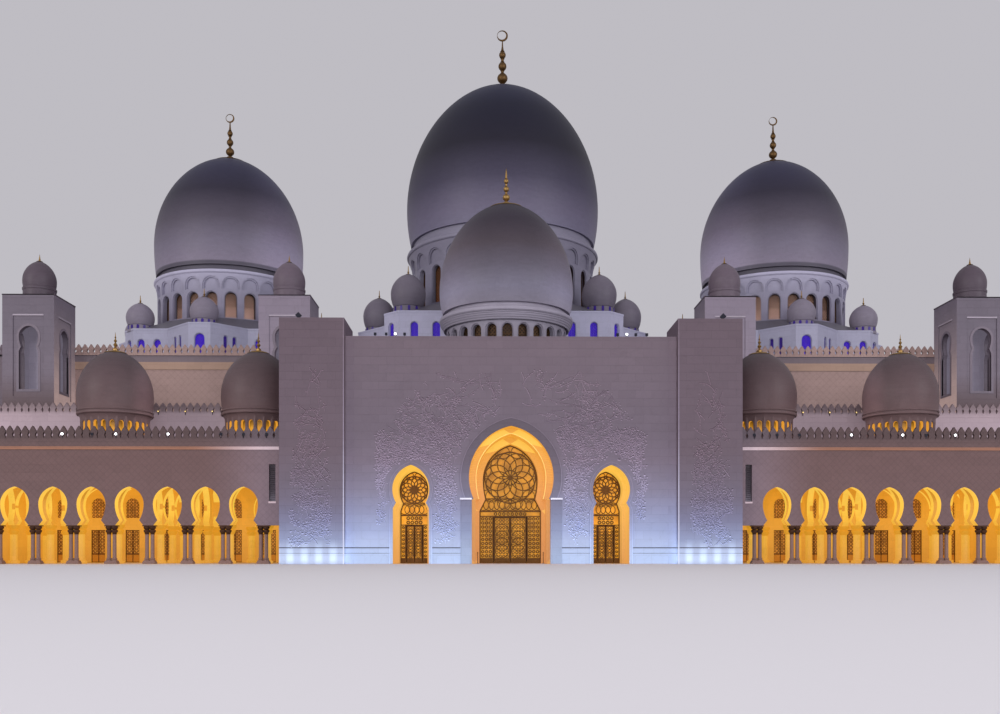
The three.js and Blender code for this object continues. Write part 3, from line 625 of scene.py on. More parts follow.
# Arcades, terrace, hall and towers
arcadeTones = [(0, (0.17, 0.105, 0.105)), (12, (0.138, 0.080, 0.077))]
arcadeTones += [(13.5, (0.115, 0.071, 0.070)), (13.7, (0.086, 0.053, 0.053))]
# near paints the floodlight on the arcade and its string course beside the portal, paler and bluer
arcadeLook = {**arcadeBlocks, "near": (25, 34, (1.42, 1.72, 2.05)), "diamonds": 0.75}
arcadeStone = makeStone("arcadeStone", tones=arcadeTones, **arcadeLook)
stringStone = makeStone("stringStone", tones=plain(0.29, 0.135, 0.085), near=(25, 35, (2.3, 3.9, 6.6)))
shaftStone = makeStone("shaftStone", tones=plain(0.22, 0.13, 0.11), **seamless)
# Painted shade in the louvre beside the portal, lighter at its foot
louvreShadeTones = [(6.5, (0.30, 0.27, 0.32)), (8, (0.12, 0.10, 0.12)), (11, (0.075, 0.06, 0.07))]
louvreShadeStone = makeStone("louvreShadeStone", tones=louvreShadeTones, **seamless)
# Painted light on the terrace wall, which lies in shade behind the arcade
terraceGlow = [(14, (0.12, 0.09, 0.11)), (18.0, (0.11, 0.085, 0.10)), (18.4, (0.0, 0.0, 0.0))]
terraceTones = [(15, (0.34, 0.26, 0.29)), (18, (0.32, 0.24, 0.26)), (20, (0.16, 0.11, 0.115))]
terraceStone = makeStone("terraceStone", tones=terraceTones, glow=(terraceGlow, 1.0))
creamBand = makeStone("creamBand", tones=plain(0.36, 0.235, 0.175))
bandStone = makeStone("bandStone", tones=plain(0.172, 0.132, 0.147))
diaperStone = makeStone("diaperStone", tones=plain(0.345, 0.232, 0.208), diamonds=0.9)
roofStone = makeStone("roofStone", tones=plain(0.125, 0.115, 0.145), block=(0.3, 0.3, 0.001))
# Tower tones by height are painted light and shade, and near paints the inner towers lighter
towerTones = [(20, (0.125, 0.085, 0.092)), (24, (0.165, 0.135, 0.167)), (30, (0.14, 0.117, 0.147))]
towerTones.append((33.8, (0.125, 0.103, 0.13)))
towerStone = makeStone("towerStone", tones=towerTones, near=(32, 50, [1.7] * 3))
# Painted floodlight on the tower faces that look to the building's middle, warm and bright at the foot
sideLight = [(20, (0.17, 0.115, 0.1)), (27, (0.03, 0.02, 0.02)), (32, (0, 0, 0))]
towerSideTones = [(20, (0.5, 0.38, 0.36)), (27, (0.29, 0.24, 0.262)), (33.8, (0.17, 0.143, 0.18))]
towerInwardLit = makeStone("towerInwardLit", tones=towerSideTones, glow=(sideLight, 1.0))
# Painted highlight: a pale lip along the top of each tower panel
towerLipHighlight = makeStone("towerLipHighlight", tones=plain(0.36, 0.31, 0.36))
trimStone = makeStone("trimStone", tones=plain(0.18, 0.148, 0.18), block=(0.24, 0.5, 0.0008))
# Painted light on the walls of the dark room seen through the niches
nicheGlow = [(z, (0.085, 0.077, 0.098)) for z in (18, 34)]
nicheLitStone = makeStone("nicheLitStone", tones=plain(0.22, 0.19, 0.24), glow=(nicheGlow, 1.0))
# near paints the inner towers' domes lighter
towerDomeLook = {"near": (32, 50, [1.4] * 3), "block": (0.10, 0.03, 0.0006)}
towerDomeStone = makeStone("towerDomeStone", tones=plain(0.088, 0.066, 0.084), **towerDomeLook)

# Domes, drums and podiums. Their tones are painted light and shade: the domes darken towards their
# tops, and the side drums are painted lightest under the cornice
fine = {"block": (0.10, 0.03, 0.0006), "jointDark": 0.9}
bands = {"block": (0.2, 0.06, 0.0006), "jointDark": 0.93}
mainTones = [(53.7, (0.175, 0.16, 0.23)), (56, (0.145, 0.128, 0.19)), (60.8, (0.056, 0.049, 0.082))]
mainTones += [(66.8, (0.0145, 0.0125, 0.0235)), (73.8, (0.0062, 0.006, 0.0205)), (80, (0.0052, 0.0066, 0.038))]
sideTones = [(48.2, (0.088, 0.078, 0.104)), (48.4, (0.215, 0.185, 0.245)), (51.5, (0.165, 0.145, 0.196))]
sideTones += [(55.5, (0.083, 0.070, 0.096)), (60.5, (0.0265, 0.0225, 0.039)), (66, (0.0225, 0.0215, 0.054))]
frontTones = [(33.8, (0.22, 0.20, 0.25)), (35.7, (0.184, 0.171, 0.228)), (38.6, (0.107, 0.094, 0.123))]
frontTones += [(41.8, (0.064, 0.050, 0.062)), (45.4, (0.0315, 0.024, 0.036)), (49, (0.026, 0.021, 0.033))]
domeTones = {"main": mainTones, "left": sideTones, "right": sideTones, "front": frontTones}
sideDrumTones = [(38, (0.19, 0.17, 0.235)), (43.5, (0.255, 0.24, 0.318)), (46.6, (0.42, 0.40, 0.52))]
drumTones = {"left": sideDrumTones, "right": sideDrumTones}
drumTones["main"] = [(38, (0.175, 0.164, 0.22)), (52, (0.222, 0.207, 0.27))]
drumTones["front"] = [(28, (0.20, 0.18, 0.22)), (31.2, (0.27, 0.245, 0.30)), (33, (0.33, 0.30, 0.365))]
# turn paints light on the side domes' faces that look to the middle, and on both sides of the front dome
sideTurn = ("inward", 0.35, 2.3)
domeTurns = {"main": None, "left": sideTurn, "right": sideTurn, "front": ("rim", 0.3, 1.75)}
# Painted shade on the side drums' necks under the domes
neckShadeStone = makeStone("neckShadeStone", tones=plain(0.095, 0.085, 0.112), **seamless)
# near paints the main podium lighter and its small domes darker
podiumStone = makeStone("podiumStone", tones=plain(0.355, 0.345, 0.45), near=(20, 30, [1.25] * 3))
smallDomeLook = {**fine, "near": (20, 30, [0.72] * 3)}
smallDomeStone = makeStone("smallDomeStone", tones=plain(0.205, 0.178, 0.226), **smallDomeLook)
# Painted light and shade: the arcade domes darken upwards, and turn paints light on the faces that look to the
# building's middle
arcadeDomeTones = [(17, (0.15, 0.094, 0.094)), (19, (0.112, 0.070, 0.073)), (24.5, (0.073, 0.052, 0.058))]
arcadeDomeStone = makeStone("arcadeDomeStone", tones=arcadeDomeTones, turn=("inward", 0.6, 2.0), **fine)

# Metals, and glass lit from behind
gilt = makeMetal("gilt", (0.42, 0.26, 0.085), (0.20, 0.12, 0.045), 0.3)
darkGilt = makeMetal("darkGilt", (0.17, 0.095, 0.035), (0.09, 0.05, 0.02), 0.38)
bronze = makeMetal("bronze", (0.13, 0.062, 0.035), (0.07, 0.035, 0.022), 0.42)
# The inner capitals and the kick panels glow with painted amber light from the arcade's lamps
litBronze = makeMetal("litBronze", (0.55, 0.27, 0.04), (0.36, 0.16, 0.03), 0.4, ((1.0, 0.5, 0.035, 1), 0.46))
litKickPanel = makeMetal("litKickPanel", (0.40, 0.17, 0.03), (0.28, 0.11, 0.02), 0.4, ((0.8, 0.28, 0.02, 1), 0.3))
latticeGilt = makeMetal("latticeGilt", (0.26, 0.12, 0.03), (0.14, 0.065, 0.018), 0.35)
screenGilt = makeMetal("screenGilt", (0.15, 0.068, 0.018), (0.08, 0.034, 0.009), 0.35)
drumMetal = makeMetal("drumMetal", (0.085, 0.045, 0.022), (0.05, 0.028, 0.015), 0.4)
shadeMetal = makeMetal("shadeMetal", (0.03, 0.03, 0.04), (0.02, 0.02, 0.03), 0.5)
amberGlass = makeLitGlass("amberGlass", (0.75, 0.34, 0.02), (0.30, 0.11, 0.008), 0.62)
amberGlow = makeLitGlass("amberGlow", (0.66, 0.36, 0.03), (0.36, 0.17, 0.015), 0.46, fade=(14.9, 16.2, 0.25))
mainGlass = makeLitGlass("mainGlass", (0.60, 0.27, 0.018), (0.2, 0.08, 0.006), 0.5)
windowGlass = makeLitGlass("windowGlass", (0.62, 0.27, 0.04), (0.2, 0.085, 0.015), 0.55, 16.0)
pinkGlass = makeLitGlass("pinkGlass", (0.85, 0.52, 0.44), (0.24, 0.12, 0.11), 0.55, 16.0, (39.5, 43, 0.3))
roseGlass = makeLitGlass("roseGlass", (0.45, 0.17, 0.09), (0.16, 0.06, 0.035), 0.5, 16.0, (42, 48, 0.4))
darkGlass = makeLitGlass("darkGlass", (0.012, 0.007, 0.005), (0.006, 0.004, 0.004), 0.3, 16.0)
blueGlass = makeLitGlass("blueGlass", (0.035, 0.008, 0.36), (0.022, 0.006, 0.24), 0.6, 14.0)
slitGlass = makeLitGlass("slitGlass", (0.03, 0.012, 0.16), (0.02, 0.01, 0.08), 0.3, 14.0)
paleBars = makeLitGlass("paleBars", (0.07, 0.03, 0.44), (0.055, 0.02, 0.36), 0.25, 14.0)
yellowLamp = makeLitGlass("yellowLamp", (1.0, 0.72, 0.25), (0.9, 0.6, 0.2), 1.2)
lampGlass = makeLitGlass("lampGlass", (1.0, 1.0, 1.0), (0.9, 0.95, 1.0), 4.0)
drumGlass = {"main": roseGlass, "left": pinkGlass, "right": pinkGlass, "front": darkGlass}
print("finishes made")


# Great domes on their drums: radius at the widest ring, heights of that ring, of the apex and
# of the base, and how far under the widest ring the curve would close
def greatDome(x, y, radius, widest, apex, base, sink, finial, cap):
    form = dict(radius=radius, widest=widest, apex=apex, base=base, sink=sink)
    return {**form, "x": x, "y": y, "finial": finial, "cap": cap}


def makeDrum(radius, cornice, corniceZ, sill, top, half, foot, cove, niche=None, steps=0):
    form = dict(radius=radius, cornice=cornice, corniceZ=corniceZ, foot=foot, cove=cove)
    return {**form, "sill": sill, "top": top, "half": half, "niche": niche, "steps": steps}


domes = {
    "main": greatDome(0, domeLine, 16.5, 59.9, 81.5, 53.7, 22.6, 10.4, 3.3),
    "left": greatDome(-47.16, domeLine, 12.45, 53.2, 68.9, 47.7, 24.5, 8.2, 2.66),
    "right": greatDome(47.16, domeLine, 12.45, 53.2, 68.9, 47.7, 24.5, 8.2, 2.66),
    "front": greatDome(0, frontDomeLine, 9.2, 36.9, 49.1, 33.8, 10.5, 5.8, 2.2),
}
sideDrum = makeDrum(11.9, 12.5, 46.8, 39.2, 43.3, 0.95, 36.8, 43.3, (43.7, 45.75, 1.42))
drums = {
    "main": makeDrum(15.5, 16.5, 52, 41.9, 47.9, 0.95, 38.6, 47.6, (48.3, 50.7, 1.8)),
    "left": sideDrum,
    "right": sideDrum,
    "front": makeDrum(8.2, 9.2, 33.1, 28.6, 31.1, 0.69, 27.4, 31.3, steps=4),
}
drumWall = 0.8
drumWindows = 24


def domeRadius(dome, z):
    reach = dome["sink"] if z < dome["widest"] else dome["apex"] - dome["widest"]
    return dome["radius"] * max(0, 1 - ((z - dome["widest"]) / reach) ** 2) ** dome.get("power", 0.55)


def domeRings(dome, low, high):
    fall, rise = dome["widest"] - dome["base"], dome["apex"] - dome["widest"]
    heights = [dome["base"] + fall * i / low for i in range(low)]
    heights += [dome["widest"] + rise * math.sin(math.pi / 2 * i / high) for i in range(high + 1)]
    return [(domeRadius(dome, z), z) for z in heights[:-1]] + [(0, dome["apex"])]


def addDome(name, dome):
    bm = bmesh.new()
    thick, tall = 0.5, dome["apex"] - dome["base"]
    inner = [(max(0, r - thick), z - thick * (z - dome["base"]) / tall) for r, z in domeRings(dome, 2, 10)]
    turned(bm, inner[::-1] + domeRings(dome, 6, 34), 120, dome["x"], dome["y"])
    addPiece(f"{name}DomeShell", bm, [domeStone[name]], replaces=[f"{name}_dome"])


# The two upright ends of a flat sector, where its copies meet
def dropEnds(bm, half):
    ends = [f for f in bm.faces if all(abs(abs(v.co.x) - half) < 0.0004 for v in f.verts)]
    bmesh.ops.delete(bm, geom=ends, context="FACES")


# One of the drum's sectors drawn flat: stepped window reveals and a blind arch in the cove
def drumSector(drum):
    bm = bmesh.new()
    half = math.pi * drum["radius"] / drumWindows
    top, sill, wide, head = drum["corniceZ"], drum["sill"], drum["half"], drum["top"]
    sheet = rectangle(-half, half, drum["foot"], top)
    opening = [sheet, roundWindow(0, sill, wide, head)]
    face = [sheet, roundWindow(0, sill - 0.12, wide + 0.13, head + 0.13)]
    middle = list(opening)
    if drum["niche"]:
        low, high, reach = drum["niche"]
        face.append(roundWindow(0, low, reach, high))
        middle.append(roundWindow(0, low + 0.14, reach - 0.2, high - 0.2))
    wallSheet(bm, 0, 0.16, face)
    wallSheet(bm, 0.16, 0.42, middle)
    wallSheet(bm, 0.42, drumWall, opening)
    upright, level = 6, 5
    for i in range(1, upright):
        cut(bm, (half * (2 * i / upright - 1), 0, 0), (1, 0, 0))
    for i in range(1, level):
        cut(bm, (0, 0, drum["cove"] + (top - drum["cove"]) * i / level), (0, 0, 1))
    dropEnds(bm, half)
    return bm


def bendSector(bm, drum, x, y):
    flare = drum["cornice"] - drum["radius"] - 0.07
    for v in bm.verts:
        angle = v.co.x / drum["radius"]
        share = max(0, (v.co.z - drum["cove"]) / (drum["corniceZ"] - drum["cove"]))
        reach = drum["radius"] + flare * share**1.8 - v.co.y
        v.co.x, v.co.y = x + reach * math.sin(angle), y - reach * math.cos(angle)


def ringOfSectors(bm, sector, drum, x, y):
    bendSector(sector, drum, x, y)
    stamp(bm, sector, turns(drumWindows, x, y))
    bmesh.ops.remove_doubles(bm, verts=bm.verts, dist=0.002)


def addDrum(name, drum, dome):
    x, y = dome["x"], dome["y"]
    bm = bmesh.new()
    ringOfSectors(bm, drumSector(drum), drum, x, y)
    neck, top = domeRadius(dome, dome["base"]) - 0.45, dome["base"]
    rim, low = drum["cornice"], drum["corniceZ"]
    profile = [(neck - 0.6, top), (neck, top), (neck, low + 0.28), (rim - 0.3, low + 0.16)]
    profile += [(rim - 0.08, low), (rim, low - 0.2), (rim - 0.02, low - 0.4), (rim - 0.14, low - 0.55)]
    profile += [(rim - 0.5, low - 0.6), (neck - 0.6, low - 0.6)]
    for i in range(drum["steps"]):
        z, out = low - 0.62 - 0.26 * i, 0.14 * i + 0.1
        profile[-1:-1] = [(rim - out, z), (rim - out - 0.04, z - 0.14), (rim - out - 0.12, z - 0.2)]
    turned(bm, profile + profile[:1], 120, x, y)
    # On the side drums, the cornice top and the neck above it take painted shade
    for face in bm.faces:
        if name in sides and face.calc_center_median().z > low + 0.02:
            face.material_index = 2
    band, z = drum["radius"], drum["sill"] - 0.35
    ring = [(band - 0.1, z), (band + 0.07, z), (band + 0.09, z + 0.1), (band - 0.1, z + 0.18), (band - 0.1, z)]
    turned(bm, ring, 96, x, y)
    addPiece(f"{name}DrumWall", bm, [drumStone[name], litStone, neckShadeStone], replaces=[f"{name}_drum"])
    addDrumWindows(name, drum, x, y)


# Lattice of crossing bars with thin frames behind the drum's openings, and their glass
def addDrumWindows(name, drum, x, y):
    half, sill, top = drum["half"] + 0.12, drum["sill"] - 0.12, drum["top"] + 0.12
    depth, frameWide = y - drum["radius"] + drumWall + 0.02, 0.2
    template = bmesh.new()
    inside = roundWindow(x, sill + frameWide, half - frameWide, top - frameWide)
    wallSheet(template, depth - 0.1, depth + 0.06, [roundWindow(x, sill, half, top), inside])
    diaper(template, x - half + 0.1, x + half - 0.1, sill + 0.1, top - 0.15, 0.48, 0.11, depth - 0.05, 0.08)
    middle = (sill + top) / 2
    box(template, x - half, x + half, depth - 0.08, depth + 0.02, middle - 0.05, middle + 0.05)
    bars = bmesh.new()
    stamp(bars, template, turns(drumWindows, x, y))
    addPiece(f"{name}DrumLattice", bars, [drumMetal])
    pane = bmesh.new()
    paneRing(pane, drum["radius"] - drumWall - 0.09, 0.05, sill - 0.3, top + 0.3, drumWindows * 2, x, y)
    addPiece(f"{name}DrumGlass", pane, [drumGlass[name]])


# A round wall of glass
def paneRing(bm, radius, thick, low, high, steps, x, y):
    line = [(radius, low), (radius, high), (radius - thick, high), (radius - thick, low), (radius, low)]
    turned(bm, line, steps, x, y)


# Bars that cross at 45 degrees over a rectangle, clipped at its edges
def diaper(bm, x0, x1, z0, z1, pitch, bar, y, depth):
    part = bmesh.new()
    middle, reach = (x0 + x1) / 2, (x1 - x0) / 2
    count = int((z1 - z0 + 2 * reach) / pitch) + 1
    for i in range(count):
        height = z0 - reach + pitch * (i + 0.5)
        for lean in (-1, 1):
            made = box(part, -reach * 1.5, reach * 1.5, y + lean * 0.004, y + depth, -bar / 2, bar / 2)
            turn = Matrix.Translation((middle, 0, height)) @ Matrix.Rotation(lean * math.pi / 4, 4, "Y")
            bmesh.ops.transform(part, matrix=turn, verts=made)
    for side, x, z in ((-1, x0, z0), (1, x1, z1)):
        cut(part, (x, 0, 0), (side, 0, 0), clear=True)
        cut(part, (0, 0, z), (0, 0, side), clear=True)
    bmesh.ops.holes_fill(part, edges=part.edges, sides=4)
    pour(bm, part)


# Finials of stacked bulbs over a flaring cap, three of them with a crescent. Each bulb is
# (height of its middle, half width, half height), in tenths of the finial.
bulbs = ((1.9, 0.87, 1.0), (3.9, 0.68, 0.86), (5.8, 0.56, 0.74))


def finialProfile(dome):
    unit = dome["finial"] / 10
    neck = 0.24 * unit
    line = [(0, 9.0 * unit if dome["finial"] < 6 else 8.15 * unit), (0.09, 8.1 * unit), (0.13, 7.2 * unit)]
    for z, wide, tall in bulbs[::-1]:
        line += [(neck, (z + tall * 0.92) * unit), (neck * 1.5, (z + tall * 0.84) * unit)]
        for i in range(1, 10):
            swing = math.pi / 2 - i * math.pi / 10
            line.append((wide * unit * math.cos(swing) ** 0.9, (z + tall * 0.8 * math.sin(swing)) * unit))
        line += [(neck * 1.5, (z - tall * 0.84) * unit), (neck, (z - tall * 0.92) * unit)]
    line += [(0.7 * unit, 0.75 * unit), (0.82 * unit, 0.4 * unit), (1.05 * unit, 0.12 * unit)]
    return [(r, dome["apex"] + z) for r, z in line]


def addFinial(name, dome):
    x, y, apex, unit = dome["x"], dome["y"], dome["apex"], dome["finial"] / 10
    bm = bmesh.new()
    line = finialProfile(dome)
    rim = apex
    while domeRadius(dome, rim) < dome["cap"]:
        rim -= 0.03
    for i in range(1, 7):
        z = apex - (apex - rim) * (i / 6) ** 1.5
        line.append((domeRadius(dome, z) + 0.09, z + 0.1))
    edge = domeRadius(dome, rim)
    line += [(edge + 0.16, rim + 0.02), (edge + 0.02, rim - 0.1), (edge - 0.3, rim - 0.05), (0, apex - 0.35)]
    turned(bm, line, 40, x, y)
    if name != "front":
        addCrescent(bm, x, y, apex + 9 * unit, unit)
    metal = gilt if name == "front" else darkGilt
    addPiece(f"{name}FinialGilding", bm, [metal], replaces=[f"{name}_finial"], smooth=40)


# A crescent that is nearly a ring, cut by a smaller circle
def addCrescent(bm, x, y, z, unit):
    moon = bmesh.new()
    front = y - 0.09 * unit
    upright = Matrix.Rotation(math.pi / 2, 4, "X")
    for radius, dx, dz in ((0.9, 0, 0), (0.73, -0.1, 0.08)):
        place = Matrix.Translation((x + dx * unit, front, z + dz * unit)) @ upright
        bmesh.ops.create_circle(moon, segments=40, radius=radius * unit, matrix=place)
    thicken(moon, 0.18 * unit)
    pour(bm, moon)


domeStone, drumStone = {}, {}
for name, dome in domes.items():
    spot = [size * modelScale for size in (dome["x"], dome["y"] - hallDepth / 2, dome["radius"])]
    turn = domeTurns[name]
    domeStone[name] = makeStone(f"{name}DomeStone", spot, tones=domeTones[name], turn=turn, **fine)
    drumStone[name] = makeStone(f"{name}DrumStone", spot, tones=drumTones[name], **bands)
    addDome(name, dome)
    addDrum(name, drums[name], dome)
    addFinial(name, dome)
print("great domes and drums made")


# Podiums of the three great domes, with eight small domes each. A podium is a square with
# its corners cut off and a tapering bay in the middle of each side.
mainPodium = dict(half=18.8, chamfer=2.33, bayFoot=8.8, bayHalf=3, bayFace=24.6, foot=27.4, top=38.6)
mainPodium.update(windows=(10.5, 13.9), windowHalf=0.56, sill=31, head=36.9, bayWindow=0.85, slit=0.3)
mainPodium.update(cornerDome=15.14, bayDome=21.35, rise=3.0, wall=0.9)
sidePodium = dict(half=13.8, chamfer=2, bayFoot=6.35, bayHalf=1.7, bayFace=18.45, foot=27.4, top=36.8)
sidePodium.update(windows=(8.03, 10.6), windowHalf=0.52, sill=30.5, head=35.1, bayWindow=0.75, slit=0.28)
sidePodium.update(cornerDome=11.49, bayDome=15.8, rise=2.2, wall=0.9)
podiums = {"main": mainPodium, "side": sidePodium}
smallDomes = {
    "main": dict(radius=2.77, widest=41.95, apex=45.2, base=39.9, sink=3.9, neck=2.4, spike=1.4, power=0.6),
    "side": dict(radius=2.22, widest=39.0, apex=41.4, base=37.7, sink=2.9, neck=1.9, spike=1.3, power=0.62),
}
smallDomeWindows = 12
smallTip = [(0.09, 0.45), (0.2, 0.36), (0.09, 0.26), (0.16, 0.1), (0.42, -0.02), (0, -0.12)]


# start and end are plan points; each window is (place along the wall, half width)
def podiumWall(bm, start, end, podium, windows):
    template = bmesh.new()
    length = math.hypot(end[0] - start[0], end[1] - start[1])
    sill, head = podium["sill"], podium["head"]
    outline = rectangle(0, length, podium["foot"], podium["top"])
    outer = [roundWindow(place, sill - 0.1, half + 0.1, head + 0.1) for place, half in windows]
    inner = [roundWindow(place, sill, half, head) for place, half in windows]
    wallSheet(template, 0, 0.14, [outline, *outer])
    wallSheet(template, 0.14, podium["wall"], [outline, *inner])
    top = podium["top"]
    box(template, -0.04, length + 0.04, -0.06, podium["wall"] + 0.01, top - 0.24, top + 0.03)
    stamp(bm, template, [alongWall(start, end)])


# Blue panes with bars in the windows, and dark ones in the slits
def podiumPane(glass, bars, slits, start, end, podium, windows):
    sheet, grid, dark = bmesh.new(), bmesh.new(), bmesh.new()
    sill, head = podium["sill"], podium["head"]
    for place, half in windows:
        if half == podium["slit"]:
            box(dark, place - half + 0.01, place + half - 0.01, 0.17, 0.22, sill + 0.01, head - 0.05)
        else:
            box(sheet, place - half - 0.1, place + half + 0.1, 0.5, 0.54, sill - 0.1, head + 0.1)
            diaper(grid, place - half, place + half, sill, head, 0.42, 0.05, 0.4, 0.06)
            box(grid, place - 0.03, place + 0.03, 0.38, 0.46, sill, head)
    for bm, template in ((glass, sheet), (bars, grid), (slits, dark)):
        stamp(bm, template, [alongWall(start, end)])


# Plan points of one side, from a corner round the bay to the next corner
def podiumPlan(podium):
    half, near = podium["half"], podium["half"] - podium["chamfer"]
    points = [(-near, -half), (-podium["bayFoot"], -half), (-podium["bayHalf"], -podium["bayFace"])]
    return points + [(-px, py) for px, py in points[::-1]] + [(half, -near)]


def quarterWalls(podium):
    points = podiumPlan(podium)
    near, wide = podium["half"] - podium["chamfer"], podium["windowHalf"]
    slant = math.hypot(podium["bayFoot"] - podium["bayHalf"], podium["bayFace"] - podium["half"])
    slits = [(slant * 0.36, podium["slit"]), (slant * 0.6, podium["slit"])]
    mirrored = [(slant - place, half) for place, half in slits]
    flat = [(near - offset, wide) for offset in podium["windows"][::-1]]
    other = [(offset - podium["bayFoot"], wide) for offset in podium["windows"]]
    bay = [(podium["bayHalf"], podium["bayWindow"])]
    corner = [(podium["chamfer"] / math.sqrt(2), wide)]
    windows = [flat, slits, bay, mirrored, other, corner]
    return list(zip(points, points[1:], windows))


# The roof from the walls' tops up to the drum, as two loops joined by a bridge
def skirtRoof(bm, podium, radius, x, y):
    roof = bmesh.new()
    quarter = podiumPlan(podium)[:-1]
    corners = [Matrix.Rotation(math.pi / 2 * i, 3, "Z") @ Vector((*p, 0)) for i in range(4) for p in quarter]
    outer = [roof.verts.new((x + c.x * 0.985, y + c.y * 0.985, podium["top"] - 0.15)) for c in corners]
    for pair in zip(outer, outer[1:] + outer[:1]):
        roof.edges.new(pair)
    top = Matrix.Translation((x, y, podium["top"] + podium["rise"]))
    bmesh.ops.create_circle(roof, segments=72, radius=radius + 0.02, matrix=top)
    bmesh.ops.bridge_loops(roof, edges=roof.edges)
    grown = bmesh.ops.extrude_face_region(roof, geom=roof.faces[:])
    moved = [g for g in grown["geom"] if isinstance(g, bmesh.types.BMVert)]
    bmesh.ops.translate(roof, vec=(0, 0, -0.5), verts=moved)
    paint(roof, 1)
    pour(bm, roof)


def addSmallDome(bm, slits, tips, kind, x, y):
    dome, podium = smallDomes[kind], podiums[kind]
    outer = domeRings(dome, 3, 12)
    neck, roof, base, apex = dome["neck"], podium["top"], dome["base"], dome["apex"]
    line = [(0, roof - 0.3), (neck + 0.12, roof - 0.3), (neck + 0.12, roof + 0.12), (neck, roof + 0.14)]
    line += [(neck, base - 0.12), (outer[0][0] - 0.12, base - 0.04)]
    turned(bm, line + outer, 36, x, y)
    window = bmesh.new()
    wallSheet(window, y - neck - 0.025, y - neck + 0.1, [roundWindow(x, roof + 0.2, 0.2, base - 0.1, 5)])
    stamp(slits, window, turns(smallDomeWindows, x, y, 0.13))
    spike = [(0, dome["spike"]), (0.05, dome["spike"] * 0.9), *smallTip]
    turned(tips, [(r, apex + z) for r, z in spike], 12, x, y)


def addPodium(name, kind):
    podium, dome = podiums[kind], domes[name]
    x, y = dome["x"], dome["y"]
    walls, glass, bars, slits, smalls, tips = [bmesh.new() for _ in range(6)]
    quarter = [bmesh.new() for _ in range(4)]
    for start, end, windows in quarterWalls(podium):
        podiumWall(quarter[0], start, end, podium, windows)
        podiumPane(*quarter[1:], start, end, podium, windows)
    around = [Matrix.Rotation(math.pi / 2 * i, 4, "Z") for i in range(4)]
    centre = Matrix.Translation((x, y, 0))
    for bm, template in zip((walls, glass, bars, slits), quarter):
        stamp(bm, template, [centre @ turn for turn in around])
    skirtRoof(walls, podium, drums[name]["radius"], x, y)
    for turn in around:
        for px, py in ((0, -podium["bayDome"]), (podium["cornerDome"], -podium["cornerDome"])):
            spot = centre @ turn @ Vector((px, py, 0))
            addSmallDome(smalls, slits, tips, kind, spot.x, spot.y)
    addPiece(f"{name}PodiumWall", walls, [podiumStone, roofStone], replaces=[f"{name}_podium"])
    addPiece(f"{name}PodiumGlass", glass, [blueGlass])
    addPiece(f"{name}PodiumBars", bars, [paleBars])
    addPiece(f"{name}SmallDomeSlits", slits, [slitGlass])
    addPiece(f"{name}SmallDomes", smalls, [smallDomeStone])
    addPiece(f"{name}SmallTips", tips, [gilt], smooth=40)


for name, kind in (("main", "main"), ("left", "side"), ("right", "side")):
    addPodium(name, kind)
print("podiums made")


# Merlons: pointed, with a pinched neck, side by side on every parapet
merlon = [(0.5, 0), (0.5, 0.1), (0.33, 0.32), (0.33, 0.37), (0.49, 0.56), (0.44, 0.62), (0.24, 0.8)]
merlon.append((0.09, 0.94))
merlonPitch, merlonDepth = 0.825, 0.34


def merlons(bm, start, end, base, height):
    length = math.hypot(end[0] - start[0], end[1] - start[1])
    count = max(1, round(length / merlonPitch))
    pitch = length / count
    template = bmesh.new()
    right = [(px * pitch * 0.995, base + pz * height) for px, pz in merlon]
    left = [(-px, pz) for px, pz in right[::-1]]
    outline = [*right, (0, base + height), *left]
    wallSheet(template, 0, merlonDepth, [lambda part, y: loop(part, outline, y)])
    along = alongWall(start, end)
    stamp(bm, template, [along @ Matrix.Translation(((i + 0.5) * pitch, 0, 0)) for i in range(count)])


# Arcades of horseshoe arches on pairs of columns
arcade = dict(front=1.48, wall=1.0, first=27.05, bay=4.126, bays=7, springing=4.2, top=13.5)
arcade.update(tip=15.0, string=(12.42, 12.75), endWall=1.4, endLit=0.7, back=14.1, ceiling=12.5, slab=0.4)
arcadeArch = dict(jamb=1.5, impost=4.2, pinchZ=4.75, pinch=1.08, bulgeZ=6.5, bulge=1.565, apex=8.4)
innerArch = dict(jamb=1.6, impost=4.3, pinchZ=4.8, pinch=1.3, bulgeZ=6.4, bulge=1.72, apex=8.9)
column = {"spread": 0.3, "radius": 0.21, "plinth": 0.35, "width": 0.68, "block": 0.42}
columnBase = [(0.1, 0), (0.1, 0.09), (0.03, 0.14), (0.08, 0.2), (0.06, 0.27), (0, 0.31)]
columnHead = [(0.03, 0), (0.05, 0.07), (0, 0.1), (0.1, 0.24), (0.16, 0.36), (0.12, 0.47), (0.02, 0.53)]
columnHead += [(0.13, 0.64), (0.17, 0.74), (0.13, 0.84), (0, 0.88)]
louvre = {"near": 25.65, "far": 26.35, "sill": 6.8, "head": 10.85, "slats": 17, "pitch": 0.225, "tilt": 0.6}
portalHalf = 24.98
arcadeStart = portalHalf + seam
arcadeEnd = arcade["first"] + arcade["bays"] * arcade["bay"] + arcade["endWall"]
bayCentres = [arcade["first"] + (i + 0.5) * arcade["bay"] for i in range(arcade["bays"])]


def pairX(index):
    return arcade["first"] + index * arcade["bay"]


